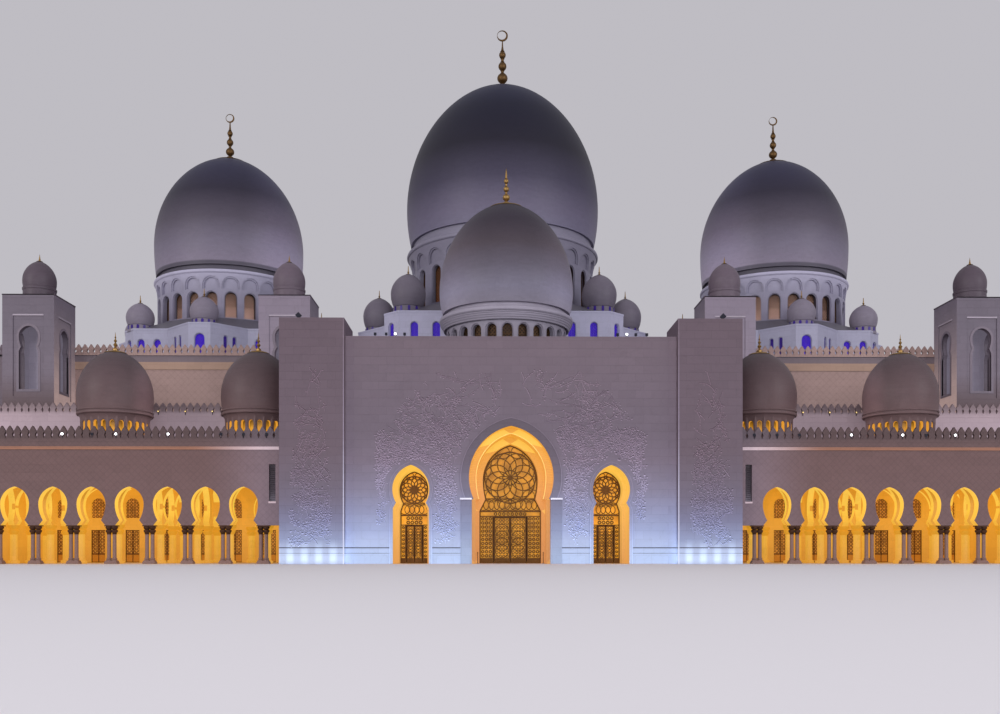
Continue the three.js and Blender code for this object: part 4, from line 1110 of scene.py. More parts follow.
# A wall over arches: its foot follows the open arches between start and end
def archedWall(bm, y0, y1, start, end, centres, arch, top, holes=(), finish=0, sideFinish=1):
    part = bmesh.new()
    foot = arch["impost"]
    corners = [part.verts.new((px, y0, foot)) for px in (start, end)]
    line = [corners[0]]
    for centre in centres:
        line += drawArch(part, {**arch, "impost": foot + 0.02}, centre, foot, 10, y0)
    line.append(corners[1])
    for pair in zip(line[::2], line[1::2]):
        part.edges.new(pair)
    chain(part, [(start, top), (end, top)], ends=corners, y=y0)
    for draw in holes:
        draw(part, y0)
    thicken(part, y1 - y0, finish, sideFinish)
    for face in part.faces:
        middle = face.calc_center_median()
        edge = min(abs(middle.x - start), abs(middle.x - end), abs(middle.z - top))
        away = min(abs(middle.x - centre) for centre in centres) > arch["bulge"] + 0.2
        if abs(face.normal.y) < 0.9 and (edge < 0.001 or away):
            face.material_index = finish
    pour(bm, part)


# A pair of round shafts with bases, bulbous capitals and a shared block above
def columnPair(shafts, capitals, x, y, top):
    r, foot, head = column["radius"], column["plinth"], top - 0.98
    shaft = [(0, foot), *[(r + out, foot + z) for out, z in columnBase]]
    shaft += [(r * 0.96, top - 0.95), (0, top - 0.95)]
    capital = [(0, head), *[(r + out, head + z) for out, z in columnHead], (0, head + 0.88)]
    for at in (x - column["spread"], x + column["spread"]):
        turned(shafts, shaft, 16, at, y)
        turned(capitals, capital, 16, at, y)
    wide, deep = column["width"], column["block"]
    box(capitals, x - wide, x + wide, y - deep, y + deep, top - 0.12, top)
    wider, middle = deep + 0.03, foot * 0.55
    box(shafts, x - wide, x + wide, y - wider, y + wider, 0, middle)
    box(shafts, x - wide + 0.06, x + wide - 0.06, y - deep + 0.02, y + deep - 0.02, middle, foot)


def addArcadeFront(name, sign):
    y0, y1, top = arcade["front"], arcade["front"] + arcade["wall"], arcade["top"]
    ends = span(sign, arcadeStart, arcadeEnd)
    centres = sorted(sign * x for x in bayCentres)
    bm, shafts, capitals = bmesh.new(), bmesh.new(), bmesh.new()
    archedWall(bm, y0, y1, *ends, centres, arcadeArch, top, [
        rectangle(*span(sign, louvre["near"], louvre["far"]), louvre["sill"], louvre["head"])
    ])
    for i in range(arcade["bays"] + 1):
        columnPair(shafts, capitals, sign * pairX(i), (y0 + y1) / 2, arcade["springing"])
    box(bm, *span(sign, arcadeEnd - arcade["endLit"], arcadeEnd), y0, y1, 0, arcade["springing"])
    trim = (ends[0] + 0.004, ends[1] - 0.004)
    box(bm, *trim, y0 - 0.09, y0 + 0.02, *arcade["string"], 2)
    box(bm, *trim, y0 - 0.03, y0 + 0.35, top - 0.2, top + 0.02)
    merlons(bm, (ends[0], y0 - 0.01), (ends[1], y0 - 0.01), top, arcade["tip"] - top)
    addLouvre(bm, sign, y0)
    nodes = [f"arcade_arches_{name}", f"arcade_upper_wall_{name}"]
    addPiece(f"{name}ArcadeFront", bm, [arcadeStone, arcLit, stringStone, louvreShadeStone], replaces=nodes)
    addPiece(f"{name}ArcadeColumns", shafts, [shaftStone])
    addPiece(f"{name}ArcadeCapitals", capitals, [bronze], smooth=40)


# Tilted slats in the narrow opening beside the portal, with a sill under them; the slats and the
# sheet behind them are painted shade, lighter at the foot
def addLouvre(bm, sign, y0):
    near, far, sill, head = [louvre[key] for key in ("near", "far", "sill", "head")]
    for i in range(louvre["slats"]):
        z = sill + 0.1 + louvre["pitch"] * i
        slat = box(bm, *span(sign, near, far), y0 + 0.12, y0 + 0.3, z, z + 0.05, 3)
        tilt = Matrix.Rotation(louvre["tilt"], 4, "X")
        bmesh.ops.rotate(bm, cent=(0, y0 + 0.2, z), matrix=tilt, verts=slat)
    box(bm, *span(sign, near - 0.02, far + 0.02), y0 + 0.36, y0 + 0.42, sill - 0.02, head + 0.02, 3)
    box(bm, *span(sign, near - 0.06, far + 0.06), y0 - 0.05, y0 + 0.2, sill - 0.2, sill, 2)


# Inside, lit arches run along the arcade and across it under a flat ceiling. Their piers make
# room for a square hall under each dome, with a row of its own near the front.
gridPairs, gridBays = (2, 3, 6, 7), ((2,), (6,))
hallRow, hallBays = 4.0, ((0, 1), (3, 4, 5))
innerPier = [(0, 0), (0.62, 0), (0.62, 0.3), (0.4, 0.36), (0.38, 3.3), (0, 3.3)]
innerCapital = [(0, 3.25), (0.4, 3.25), (0.56, 3.5), (0.6, 3.7), (0.46, 3.8), (0.66, 4.05)]
innerCapital += [(0.7, 4.3), (0, 4.3)]


def archRow(bm, sign, bays, y0, y1):
    near = pairX(bays[0]) if bays[0] else arcadeStart
    centres = sorted(sign * bayCentres[i] for i in bays)
    archedWall(bm, y0, y1, *span(sign, near, pairX(bays[-1] + 1)), centres, innerArch, arcade["ceiling"])


def addArcadeInside(name, sign):
    bm, across, capitals = bmesh.new(), bmesh.new(), bmesh.new()
    inner, outer, ceiling = arcade["front"] + arcade["wall"], arcade["back"], arcade["ceiling"]
    bayDepth, slab = (outer - arcade["front"]) / 3, ceiling + arcade["slab"]
    rows = [arcade["front"] + bayDepth * row for row in (1, 2)]
    for y in rows:
        for bays in gridBays:
            archRow(bm, sign, bays, y - 0.4, y + 0.4)
    for bays in hallBays:
        archRow(bm, sign, bays, hallRow - 0.35, hallRow + 0.35)
    archRow(bm, sign, range(arcade["bays"]), outer - 0.5, outer - seam)
    spans = [arcade["front"] + bayDepth * (i + 0.5) for i in range(3)]
    archedWall(across, -0.35, 0.35, inner, outer - 0.004, spans, {**innerArch, "apex": 9.4}, ceiling - 0.004)
    turn = Matrix.Rotation(math.pi / 2, 4, "Z")
    stamp(bm, across, [Matrix.Translation((sign * pairX(i), 0, 0)) @ turn for i in gridPairs])
    spots = [(i, y) for i in gridPairs for y in rows]
    spots += [(i, hallRow) for i in range(arcade["bays"]) if i not in gridPairs]
    spots += [(i + 1, outer - 0.15) for i in range(arcade["bays"])]
    for i, y in spots:
        turned(bm, innerPier, 12, sign * pairX(i), y, 1)
        turned(capitals, innerCapital, 12, sign * pairX(i), y)
    box(bm, *span(sign, arcadeStart, arcadeEnd - arcade["endWall"]), inner, outer, ceiling, slab)
    lit = arcadeEnd - arcade["endLit"]
    endWall = box(bm, *span(sign, lit, arcadeEnd), inner, outer, 0, slab, 2)
    # The end wall's face towards the arcade takes the painted amber glow
    for face in {face for vert in endWall for face in vert.link_faces}:
        if abs(face.calc_center_median().x) < lit + 0.01:
            face.material_index = 0
    box(bm, *span(sign, arcadeStart, arcadeEnd), inner, outer - seam, slab, arcade["top"] - 0.004, 2)
    addPiece(f"{name}ArcadeInside", bm, [insideLitStone, arcLit, arcadeStone], replaces=[f"arcade_roof_{name}"])
    addPiece(f"{name}InnerCapitals", capitals, [litBronze], smooth=40)


# Small domes over the arcades, each on a ring of slits that glow from inside
arcadeDomes = {"bays": (0, 4), "y": 8.6}
arcadeDomeForm = dict(radius=4.22, widest=19.2, apex=24.5, base=17.35, sink=6.5)
arcadeDrum = makeDrum(3.7, 4.12, 16.95, 14.8, 16.15, 0.27, 13.5, 16.25)
domeLedge = [(3.3, 16.9), (4.14, 16.9), (4.22, 17.0), (4.22, 17.14), (4.16, 17.2), (4.1, 17.22), (4.1, 17.3)]
domeLedge += [(4.2, 17.33), (4.23, 17.42), (4.17, 17.5), (3.3, 17.5), (3.3, 16.9)]
domeFloor = [(0, 13.52), (3.16, 13.52), (3.16, 13.7), (0, 13.7)]
domeTip = [(0, 2.28), (0.04, 1.9), (0.05, 1.68), (0.12, 1.58), (0.05, 1.48), (0.06, 1.4), (0.19, 1.2)]
domeTip += [(0.07, 1.0), (0.09, 0.96), (0.25, 0.74), (0.08, 0.5), (0.16, 0.36), (0.3, 0.26)]


def slitSector(drum):
    bm = bmesh.new()
    half = math.pi * drum["radius"] / drumWindows
    sheet = rectangle(-half, half, drum["foot"], drum["corniceZ"])
    window = roundWindow(0, drum["sill"], drum["half"], drum["top"], 6)
    outer = roundWindow(0, drum["sill"] - 0.05, drum["half"] + 0.06, drum["top"] + 0.06, 6)
    wallSheet(bm, 0, 0.08, [sheet, outer])
    wallSheet(bm, 0.08, 0.5, [sheet, window], 0, 1)
    cut(bm, (0, 0, (drum["cove"] + drum["corniceZ"]) / 2), (0, 0, 1))
    dropEnds(bm, half)
    return bm


def addArcadeDome(name, index, x):
    y = arcadeDomes["y"]
    dome = {**arcadeDomeForm, "x": x, "y": y}
    bm, shell, glass, tip = [bmesh.new() for _ in range(4)]
    ringOfSectors(bm, slitSector(arcadeDrum), arcadeDrum, x, y)
    turned(bm, domeLedge, 72, x, y)
    turned(bm, domeFloor, 24, x, y)
    inner = [(max(0, r - 0.3), z - 0.1) for r, z in domeRings(dome, 2, 6)]
    inner[-1] = (0, dome["apex"] - 0.4)
    turned(shell, inner[::-1] + domeRings(dome, 4, 22), 72, x, y)
    paneRing(glass, 3.15, 0.04, 14.6, 16.5, drumWindows * 2, x, y)
    line = [(r, dome["apex"] + z) for r, z in domeTip]
    for i in range(1, 7):
        z = dome["apex"] - 0.28 * (i / 6) ** 1.6
        line.append((domeRadius(dome, z) * 0.98 + 0.05, z + 0.08))
    rim, z = line[-1]
    line += [(rim + 0.04, z - 0.06), (rim - 0.2, z - 0.12), (0, dome["apex"] - 0.3)]
    turned(tip, line, 28, x, y)
    addPiece(f"{name}ArcadeDrum{index}", bm, [arcadeDomeStone, litStone])
    addPiece(f"{name}ArcadeDome{index}", shell, [arcadeDomeStone], replaces=[f"arcade_dome_{name}_{index}"])
    addPiece(f"{name}ArcadeDomeGlass{index}", glass, [amberGlow])
    addPiece(f"{name}ArcadeDomeTip{index}", tip, [gilt], smooth=40)


for name, sign in sides.items():
    addArcadeFront(name, sign)
    addArcadeInside(name, sign)
    for index, bay in enumerate(arcadeDomes["bays"]):
        addArcadeDome(name, index + 1, sign * bayCentres[bay])
print("arcades made")


# The arcade's back wall with lattice windows, which is also the terrace's front
hall = dict(half=67.2, front=25.6, top=27.4, tip=28.8, terraceTop=18.0, terraceTip=19.4, wall=1)
hall["string"] = (12.4, 12.6)
backWindow = {"half": 0.85, "door": (0.03, 3.95), "kick": 0.95, "sill": 5.4, "head": 7.8, "pitch": 0.425}


def addTerrace(name, sign):
    bm, bars, glass, panels = [bmesh.new() for _ in range(4)]
    y0, y1, top = arcade["back"], arcade["back"] + hall["wall"], hall["terraceTop"]
    ends = span(sign, arcadeStart, hall["half"])
    half, sill, head, kick = [backWindow[key] for key in ("half", "sill", "head", "kick")]
    foot, door = backWindow["door"]
    centres = [sign * x for x in bayCentres]
    low = [rectangle(c - half, c + half, foot, door) for c in centres]
    high = [roundWindow(c, sill, half, head, 10) for c in centres]
    wallSheet(bm, y0, y1, [rectangle(*ends, 0, top), *low, *high])
    lit, ceiling = arcadeEnd - arcade["endLit"], arcade["ceiling"]
    cut(bm, (0, 0, ceiling), (0, 0, 1))
    cut(bm, (sign * lit, 0, 0), (1, 0, 0))
    # Under the ceiling, the wall's face inside the arcade takes the painted amber glow
    for face in bm.faces:
        middle = face.calc_center_median()
        if middle.z < ceiling and abs(middle.x) < lit and middle.y < y1 - 0.01:
            face.material_index = 1
    trim = (ends[0] + 0.004, ends[1] - 0.004)
    box(bm, *trim, y0 - 0.1, y0 + 0.02, *hall["string"])
    box(bm, *trim, y0 - 0.05, y0 + 0.4, top - 0.25, top + 0.02)
    merlons(bm, (ends[0], y0), (ends[1], y0), top, hall["terraceTip"] - top)
    for c in centres:
        left, right = c - half, c + half
        for z0, z1, depth in ((1.0, door, 0.2), (sill, head, 0.3)):
            starLattice(bars, left, right, z0, z1, backWindow["pitch"], 0.045, y0 + depth, 0.06)
        for z in (foot, kick, kick + 0.1, door - 0.1):
            box(bars, left, right, y0 + 0.17, y0 + 0.29, z, z + 0.08)
        for x in (left, c - 0.04, right - 0.08):
            box(bars, x, x + 0.08, y0 + 0.17, y0 + 0.29, foot, door)
        box(panels, left, right, y0 + 0.24, y0 + 0.3, 0.1, kick)
        for z0, z1 in ((0, 4.0), (5.3, 7.9)):
            box(glass, left - 0.05, right + 0.05, y0 + 0.4, y0 + 0.44, z0, z1)
    addPiece(f"{name}TerraceWall", bm, [terraceStone, insideLitStone], replaces=[f"terrace_wall_{name}"])
    addPiece(f"{name}BackLattice", bars, [latticeGilt])
    addPiece(f"{name}BackGlass", glass, [windowGlass])
    addPiece(f"{name}BackPanels", panels, [litKickPanel])


# Rows of eight-pointed stars, each two thin square rings, joined at their points
def starLattice(bm, x0, x1, z0, z1, pitch, bar, y, depth):
    columns, rows = max(1, round((x1 - x0) / pitch)), max(1, round((z1 - z0) / pitch))
    wide, tall = (x1 - x0) / columns, (z1 - z0) / rows
    star = bmesh.new()
    reach = min(wide, tall) / 2
    for turn in (0, math.pi / 4):
        ring = bmesh.new()
        for radius in (reach, reach - bar * 1.4):
            shift = Matrix.Translation((0, y + turn * 0.006, 0))
            place = shift @ Matrix.Rotation(turn, 4, "Y") @ Matrix.Rotation(math.pi / 2, 4, "X")
            bmesh.ops.create_circle(ring, segments=4, radius=radius, matrix=place)
        thicken(ring, depth)
        pour(star, ring)
    grid = [(x0 + wide * (i + 0.5), 0, z0 + tall * (j + 0.5)) for i in range(columns) for j in range(rows)]
    stamp(bm, star, [Matrix.Translation(place) for place in grid])


# Bands of the hall's front under its merlons: (foot, projection, finish), from the ground up
hallBands = [(0, 0, 0), (25.45, 0.12, 1), (26.45, 0.1, 2), (27.24, 0.14, 3), (27.31, 0.2, 0)]


def addHallFront(name, sign):
    bm = bmesh.new()
    y0, top = hall["front"], hall["top"]
    ends = span(sign, arcadeStart, hall["half"] - hall["wall"] - seam)
    heads = [foot for foot, _, _ in hallBands[1:]] + [top]
    for (foot, out, finish), head in zip(hallBands, heads):
        box(bm, *ends, y0 - out, y0 + hall["wall"], foot, head, finish)
    merlons(bm, (ends[0], y0 - 0.18), (ends[1], y0 - 0.18), top, hall["tip"] - top)
    finishes = [diaperStone, creamBand, bandStone, shadeStone]
    addPiece(f"{name}HallFront", bm, finishes, replaces=[f"hall_front_wall_{name}"])


def addHallSides():
    reach, wall, y0 = hall["half"], hall["wall"], arcade["back"] + hall["wall"] + seam
    rise = hall["tip"] - hall["top"]
    for name, sign in sides.items():
        bm = bmesh.new()
        for a, b, base in ((y0, hall["front"], hall["terraceTop"]), (hall["front"], hallDepth, hall["top"])):
            box(bm, *span(sign, reach - wall, reach), a, b, 0, base)
            start, end = (b, a) if sign < 0 else (a, b)
            merlons(bm, (sign * reach, start), (sign * reach, end), base, rise)
            box(bm, *span(sign, reach - 0.4, reach - 0.001), a, b, base - 0.25, base + 0.02)
        addPiece(f"{name}HallSide", bm, [hallStone], replaces=[f"hall_side_wall_{name}"])
    bm = bmesh.new()
    inner = reach - wall - seam
    box(bm, -inner, inner, hallDepth - wall, hallDepth, 0, hall["top"])
    merlons(bm, (inner, hallDepth), (-inner, hallDepth), hall["top"], rise)
    addPiece("hallBack", bm, [hallStone], replaces=["hall_back_wall"])


# Towers with a recessed panel and a keyhole niche in each face
tower = dict(inner=25.02, outer=57.2, side=6.5, foot=18.0, top=33.8, panelHalf=1.92, panel=(20.9, 31.1))
tower.update(sill=21.8, sheet=0.12, niche=0.66, core=2.6, slab=0.12)
keyhole = dict(jamb=1.21, impost=26.6, pinchZ=27.2, pinch=0.95, bulgeZ=28.5, bulge=1.21, apex=29.8)
towerDome = dict(radius=2.05, widest=36.2, apex=38.8, base=35.3, sink=3.2, power=0.62)
towerNeck = [(0, 33.79), (2.0, 33.79), (2.0, 34.9), (2.06, 34.95), (2.08, 35.2), (1.98, 35.28)]
towerTip = [(0, 1.0), (0.04, 0.7), (0.1, 0.3), (0.14, 0.12), (0.4, -0.02), (0, -0.1)]


def wider(arch, by):
    changed = {key: arch[key] + by for key in ("jamb", "pinch", "bulge", "apex")}
    return {**arch, **changed}


def addTower(name, node, x):
    half, sheet, panel = tower["side"] / 2, tower["sheet"], tower["panelHalf"]
    foot, top, sill = tower["foot"], tower["top"], tower["sill"]
    low, high = tower["panel"]
    bm, face, tip = bmesh.new(), bmesh.new(), bmesh.new()
    wallSheet(face, -half, -half + sheet, [
        rectangle(-half, half - sheet, foot, top), rectangle(-panel, panel, low, high),
    ])
    inner, deep, niche = half - 0.115, tower["niche"], archWindow(keyhole, 0, sill, 12)
    wallSheet(face, -inner, -inner + deep, [rectangle(-inner, inner - deep, foot + 0.1, top - 0.1), niche])
    # The sheet's faces towards the hollow room take painted light, seen through the other faces' niches
    for side in face.faces:
        if side.calc_center_median().y > -inner + deep - 0.01:
            side.material_index = 5
    trim = archWindow(wider(keyhole, 0.3), 0, sill - 0.3, 12)
    wallSheet(face, -half + 0.06, -half + 0.3, [trim, niche], 1)
    # A pale lip at the panel's top, a painted highlight as from lamps below
    box(face, -panel, panel, -half - 0.02, -half + 0.1, high - 0.02, high + 0.16, 4)
    stamp(bm, face, turns(4, 0, 0))
    core, lip = half - 0.4, half + 0.06
    box(bm, -core, core, -core, core, top - tower["core"], top - 0.01)
    box(bm, -lip, lip, -half, half, top - tower["slab"], top + 0.006, 2)
    turned(bm, towerNeck + domeRings(towerDome, 3, 16), 48, 0, 0, 2)
    # The faces that look to the building's middle take the painted floodlight
    for side in bm.faces:
        side.normal_update()
        inwards = side.normal.x * x < -0.9 * abs(x) and abs(side.calc_center_median().x) > half - 0.13
        if inwards and side.material_index == 0:
            side.material_index = 3
    bmesh.ops.translate(bm, vec=(x, hall["front"] - seam - half, 0), verts=bm.verts)
    turned(tip, [(r, towerDome["apex"] + z) for r, z in towerTip], 14, x, hall["front"] - seam - half)
    finishes = [towerStone, trimStone, towerDomeStone, towerInwardLit, towerLipHighlight, nicheLitStone]
    addPiece(f"{name}Walls", bm, finishes, replaces=[node])
    addPiece(f"{name}Tip", tip, [gilt], smooth=40)


for name, sign in sides.items():
    addTerrace(name, sign)
    addHallFront(name, sign)
    for place in ("inner", "outer"):
        x = sign * (tower[place] + tower["side"] / 2)
        addTower(f"tower{place.capitalize()}{name.capitalize()}", f"tower_{place}_{name}", x)
addHallSides()
print("terrace, hall and towers made")


# Portal: two square piers and the wall with one great and two smaller arches. Each step is
# an arch narrower than the one before it, from its own front on.
portal = dict(half=portalHalf, pierInner=18.0, depth=6.98, pierTop=26.5, front=1.0, top=24.7, pierFace=0.1)
portal.update(groove=(1.7, 0.09), line=(1.14, 0.035), strip=(4.306, 5.5), shelf=(4.28, 5.57))
portal.update(shelfZ=(6.98, 7.16), grooveStart=5.52, sideLightStart=6)
mainSteps = [
    dict(front=1, jamb=4.3, impost=7.1, pinchZ=7.12, pinch=4.12, bulgeZ=9.4, bulge=4.6, apex=15),
    dict(front=2.4, jamb=3.9, impost=7.1, pinchZ=7.12, pinch=3.5, bulgeZ=9.4, bulge=3.8, apex=14.3),
    dict(front=5, jamb=3.5, impost=5.95, pinchZ=7.25, pinch=2.85, bulgeZ=9.4, bulge=3.12, apex=13.45),
]
sideSteps = [
    dict(front=1, jamb=1.95, impost=6.05, pinchZ=6.65, pinch=1.62, bulgeZ=8.1, bulge=2.01, apex=10.75),
    dict(front=4.4, jamb=1.6, impost=5.95, pinchZ=6.8, pinch=1.3, bulgeZ=8.3, bulge=1.7, apex=10.45),
]
sideX = 10.9


# One layer of the wall; its foot line is broken by the three open arches
def portalLayer(bm, y0, y1, reach, mainStep, sideStep, top, finish):
    part = bmesh.new()
    corners = [part.verts.new((px, y0, 0)) for px in (-reach, reach)]
    line = [corners[0]]
    for arch, x, steps in ((sideStep, -sideX, 16), (mainStep, 0, 22), (sideStep, sideX, 16)):
        line += drawArch(part, arch, x, 0, steps, y0)
    line.append(corners[1])
    for pair in zip(line[::2], line[1::2]):
        part.edges.new(pair)
    chain(part, [(-reach, top), (reach, top)], ends=corners, y=y0)
    thicken(part, y1 - y0, finish, 1)
    pour(bm, part)


# Stone takes the place of the painted amber glow on the wall's outer faces, and beside the foot of
# the great arch; the side arches' reveals take a painted glow of their own
def dressPortal(bm, reach, top):
    first, second = mainSteps[:2]
    for face in bm.faces:
        middle = face.calc_center_median()
        across, deep = abs(middle.x), middle.y
        outside = middle.z > top - 0.01 or across > reach - 0.01 or deep > portal["depth"] - 0.01
        low = deep < second["front"] + 0.01 and middle.z < first["impost"]
        if outside or low and second["jamb"] + 0.05 < across < first["jamb"] + 0.01:
            face.material_index = 0
        elif face.material_index == 1 and across > portal["sideLightStart"]:
            face.material_index = 6


def addPortalWall():
    bm = bmesh.new()
    reach, top, front = portal["pierInner"] - seam, portal["top"], portal["front"]
    main, side = mainSteps, sideSteps
    fronts = [front, main[1]["front"], side[1]["front"], main[2]["front"], portal["depth"]]
    arches = [(main[0], side[0]), (main[1], side[0]), (main[1], side[1]), (main[2], side[1])]
    for i, (great, small) in enumerate(arches):
        width = reach if i == 0 else reach - 0.001
        portalLayer(bm, fronts[i], fronts[i + 1], width, great, small, top, min(i, 1))
    dressPortal(bm, reach, top)
    low, high = portal["shelfZ"]
    clear = side[0]["jamb"] + 0.35
    for sign in (-1, 1):
        # The impost ledges carry painted light
        box(bm, *span(sign, *portal["shelf"]), front - 0.22, front + 0.02, low, high, 2)
        box(bm, *span(sign, *portal["strip"]), front - 0.05, front + 0.02, 0, low, 7)
        for x0, x1 in ((portal["grooveStart"], sideX - clear), (sideX + clear, reach - 0.02)):
            for z, tall in (portal["groove"], portal["line"]):
                box(bm, *span(sign, x0, x1), front - 0.015, front + 0.05, z, z + tall, 3)
        box(bm, *span(sign, 0.001, reach), front - 0.03, front + 0.3, top - 0.16, top + 0.01)
    # The broad band round the great arch is painted shade, the bands' outer edges a painted highlight, and the
    # bead on the second step a painted glow
    archBand(bm, main[0], 0, (0.01, 0.9), 7.0, front - 0.06, front + 0.02, 22, 7)
    archBand(bm, main[0], 0, (0.84, 0.93), 7.02, front - 0.1, front + 0.02, 22, 4)
    archBand(bm, main[1], 0, (0.01, 0.08), 7.13, main[1]["front"] - 0.08, main[1]["front"] + 0.02, 22, 5)
    for x in (-sideX, sideX):
        archBand(bm, side[0], x, (0.01, 0.34), 0, front - 0.05, front + 0.02, 16)
        archBand(bm, side[0], x, (0.29, 0.37), 0, front - 0.08, front + 0.02, 16, 4)
    finishes = [wallStone, litStone, litLedgeStone, shadeStone, rimHighlightStone, beadGlowStone, litSide, stripShadeStone]
    nodes = [f"portal_post_{a}_{b}" for a in ("inner", "outer") for b in ("left", "right")]
    addPiece("portalWall", bm, finishes, replaces=["portal_upper_wall", *nodes])


# A flat raised band round an arch, open at its foot
def archBand(bm, arch, x, reach, foot, y0, y1, steps, finish=0):
    part = bmesh.new()
    feet = []
    for by in reach:
        shape = wider(arch, by)
        if foot > 0:
            shape.update(impost=foot + 0.06, jamb=shape["pinch"])
        else:
            shape["impost"] -= (by - 0.01) * 0.6
        feet.append(drawArch(part, shape, x, foot, steps, y0))
    for pair in zip(*feet):
        part.edges.new(pair)
    thicken(part, y1 - y0, finish)
    pour(bm, part)


def addPier(name, sign):
    bm = bmesh.new()
    inner, outer, top, face = [portal[key] for key in ("pierInner", "half", "pierTop", "pierFace")]
    box(bm, *span(sign, inner, outer), face, portal["depth"], 0, top)
    for z, tall in (portal["groove"], portal["line"]):
        box(bm, *span(sign, inner - 0.01, outer), face - 0.012, 3, z, z + tall, 1)
    # A strip on the pier's inner edge carries the painted highlight
    box(bm, *span(sign, inner + seam, inner + 0.13), face - 0.02, face + 0.2, 0, top - seam, 2)
    addPiece(f"{name}Pier", bm, [pierStone, shadeStone, edgeHighlightStone], replaces=[f"portal_pier_{name}"])


# Flowering sprigs in low relief. Each curls slowly as it grows outwards and up, and carries
# leaves by turns on either side, with a flower here and there. A sprig has fewer steps than
# a long tendril, which is thinner and has fewer leaves.
vines = dict(seed=41, stem=0.055, leaf=0.62, wide=0.42, flower=0.6, step=0.36, rise=0.08, tendril=10)
wallField = dict(low=2.1, high=21, reach=14.6, mainRing=5.9, mainZ=9.6, sideRing=2.75, sideZ=8.3)
wallField.update(stretch=0.86, sideHalf=2.6, footTop=8, footReach=14.35, outerLow=4.4, shoulder=14, lean=0.85)
wallField.update(full=1.15, thinFrom=9, thinOver=13)
pierField = dict(low=2.0, high=21, middle=21.6, reach=2.15)


# How thick the relief grows at a place, from 0 to 1: none over the arches or past the edges
def wallDensity(x, z):
    x, field = abs(x), wallField
    if z < field["low"] or z > field["high"] or x > field["reach"]:
        return 0
    mainZ, sideZ, ring = field["mainZ"], field["sideZ"], field["mainRing"]
    aside, tall, sideHalf = abs(x - sideX), field["stretch"], field["sideHalf"]
    inMain = math.hypot(x / 1.02, (z - mainZ) * tall) < ring or (x < ring and z < mainZ)
    inSide = math.hypot(aside, (z - sideZ) * tall) < field["sideRing"] or (aside < sideHalf and z < sideZ)
    if inMain or inSide:
        return 0
    if z < field["footTop"] and (x > field["footReach"] or z < field["outerLow"] and x > sideX):
        return 0
    edge = field["reach"] - max(0, z - field["shoulder"]) * field["lean"]
    thin = max(0, z - field["thinFrom"]) / field["thinOver"]
    return 0 if x > edge else min(1, field["full"] - thin)


def pierDensity(x, z):
    across = abs(abs(x) - pierField["middle"])
    if across > pierField["reach"] - max(0, z - 7) * 0.05 or z < pierField["low"] or z > pierField["high"]:
        return 0
    return min(1, 1.2 - z / 20)


# The way in which a sprig sets out, as an angle over the level
def wallDrift(x, z):
    return max(0.15, 1.5 - z * 0.09) + 0.5 * math.sin(z * 0.8 - abs(x) * 0.5)


def pierDrift(x, z):
    return 1.3 + 0.9 * math.sin(z * 0.9 + x)


# A pointed leaf with a raised rib, lying on the wall with its stalk at the origin
def leafTemplate(length, width, rise):
    bm = bmesh.new()
    bmesh.ops.create_cone(bm, segments=8, radius1=0.5, radius2=0.0, depth=1.0, cap_ends=True)
    bmesh.ops.transform(bm, matrix=Matrix.Rotation(math.pi / 2, 4, "X"), verts=bm.verts)
    for v in bm.verts:
        v.co.z = v.co.z * (1.25 - 1.1 * abs(v.co.x)) + 0.5 * v.co.x * v.co.x
        v.co.x += 0.42
    bmesh.ops.transform(bm, matrix=Matrix.Diagonal((length, rise, width, 1)), verts=bm.verts)
    return bm


def flowerTemplate(size, rise):
    bm = bmesh.new()
    petals = [Matrix.Rotation(math.pi * 2 * i / 6, 4, "Y") for i in range(6)]
    stamp(bm, leafTemplate(size, size * 0.42, rise), petals)
    bmesh.ops.create_uvsphere(bm, u_segments=8, v_segments=4, radius=size * 0.115)
    return bm


def growVine(chance, density, start, drift, length, found):
    x, z = start
    outwards, step = math.copysign(1, x), vines["step"]
    sprig = length < vines["tendril"]
    curl = chance.uniform(-0.35, 0.35) if sprig else chance.uniform(-0.1, 0.1)
    heading = drift(x, z) + (chance.uniform(-1.4, 1.4) if sprig else chance.uniform(-0.5, 0.5))
    for _ in range(length):
        curl = 0.92 * curl + chance.uniform(-0.08, 0.08)
        heading += curl
        nx, nz = x + outwards * math.cos(heading) * step, z + math.sin(heading) * step
        here = density(nx, nz)
        if here <= 0:
            break
        slope = math.atan2(nz - z, nx - x)
        place = Matrix.Translation(((x + nx) / 2, chance.uniform(0, 0.02), (z + nz) / 2))
        size = Matrix.Diagonal((step * 1.12, 1, 1 if sprig else 0.65, 1))
        found["stems"].append(place @ Matrix.Rotation(-slope, 4, "Y") @ size)
        for side in (-1, 1):
            if chance.random() > (0.3 + 0.5 * here if sprig else 0.2):
                continue
            turn = Matrix.Rotation(-slope - side * chance.uniform(0.5, 1.1), 4, "Y")
            size = Matrix.Scale(chance.uniform(0.6, 1.15) * (0.65 + 0.35 * here), 4)
            spot = Matrix.Translation((nx, chance.uniform(0, 0.03), nz))
            found["leaves" if side > 0 else "mirrored"].append(spot @ turn @ size)
        if chance.random() < 0.045 * here:
            turn = Matrix.Rotation(chance.uniform(0, 1), 4, "Y") @ Matrix.Scale(chance.uniform(0.7, 1.2), 4)
            found["flowers"].append(Matrix.Translation((nx, chance.uniform(0, 0.02), nz)) @ turn)
        x, z = nx, nz


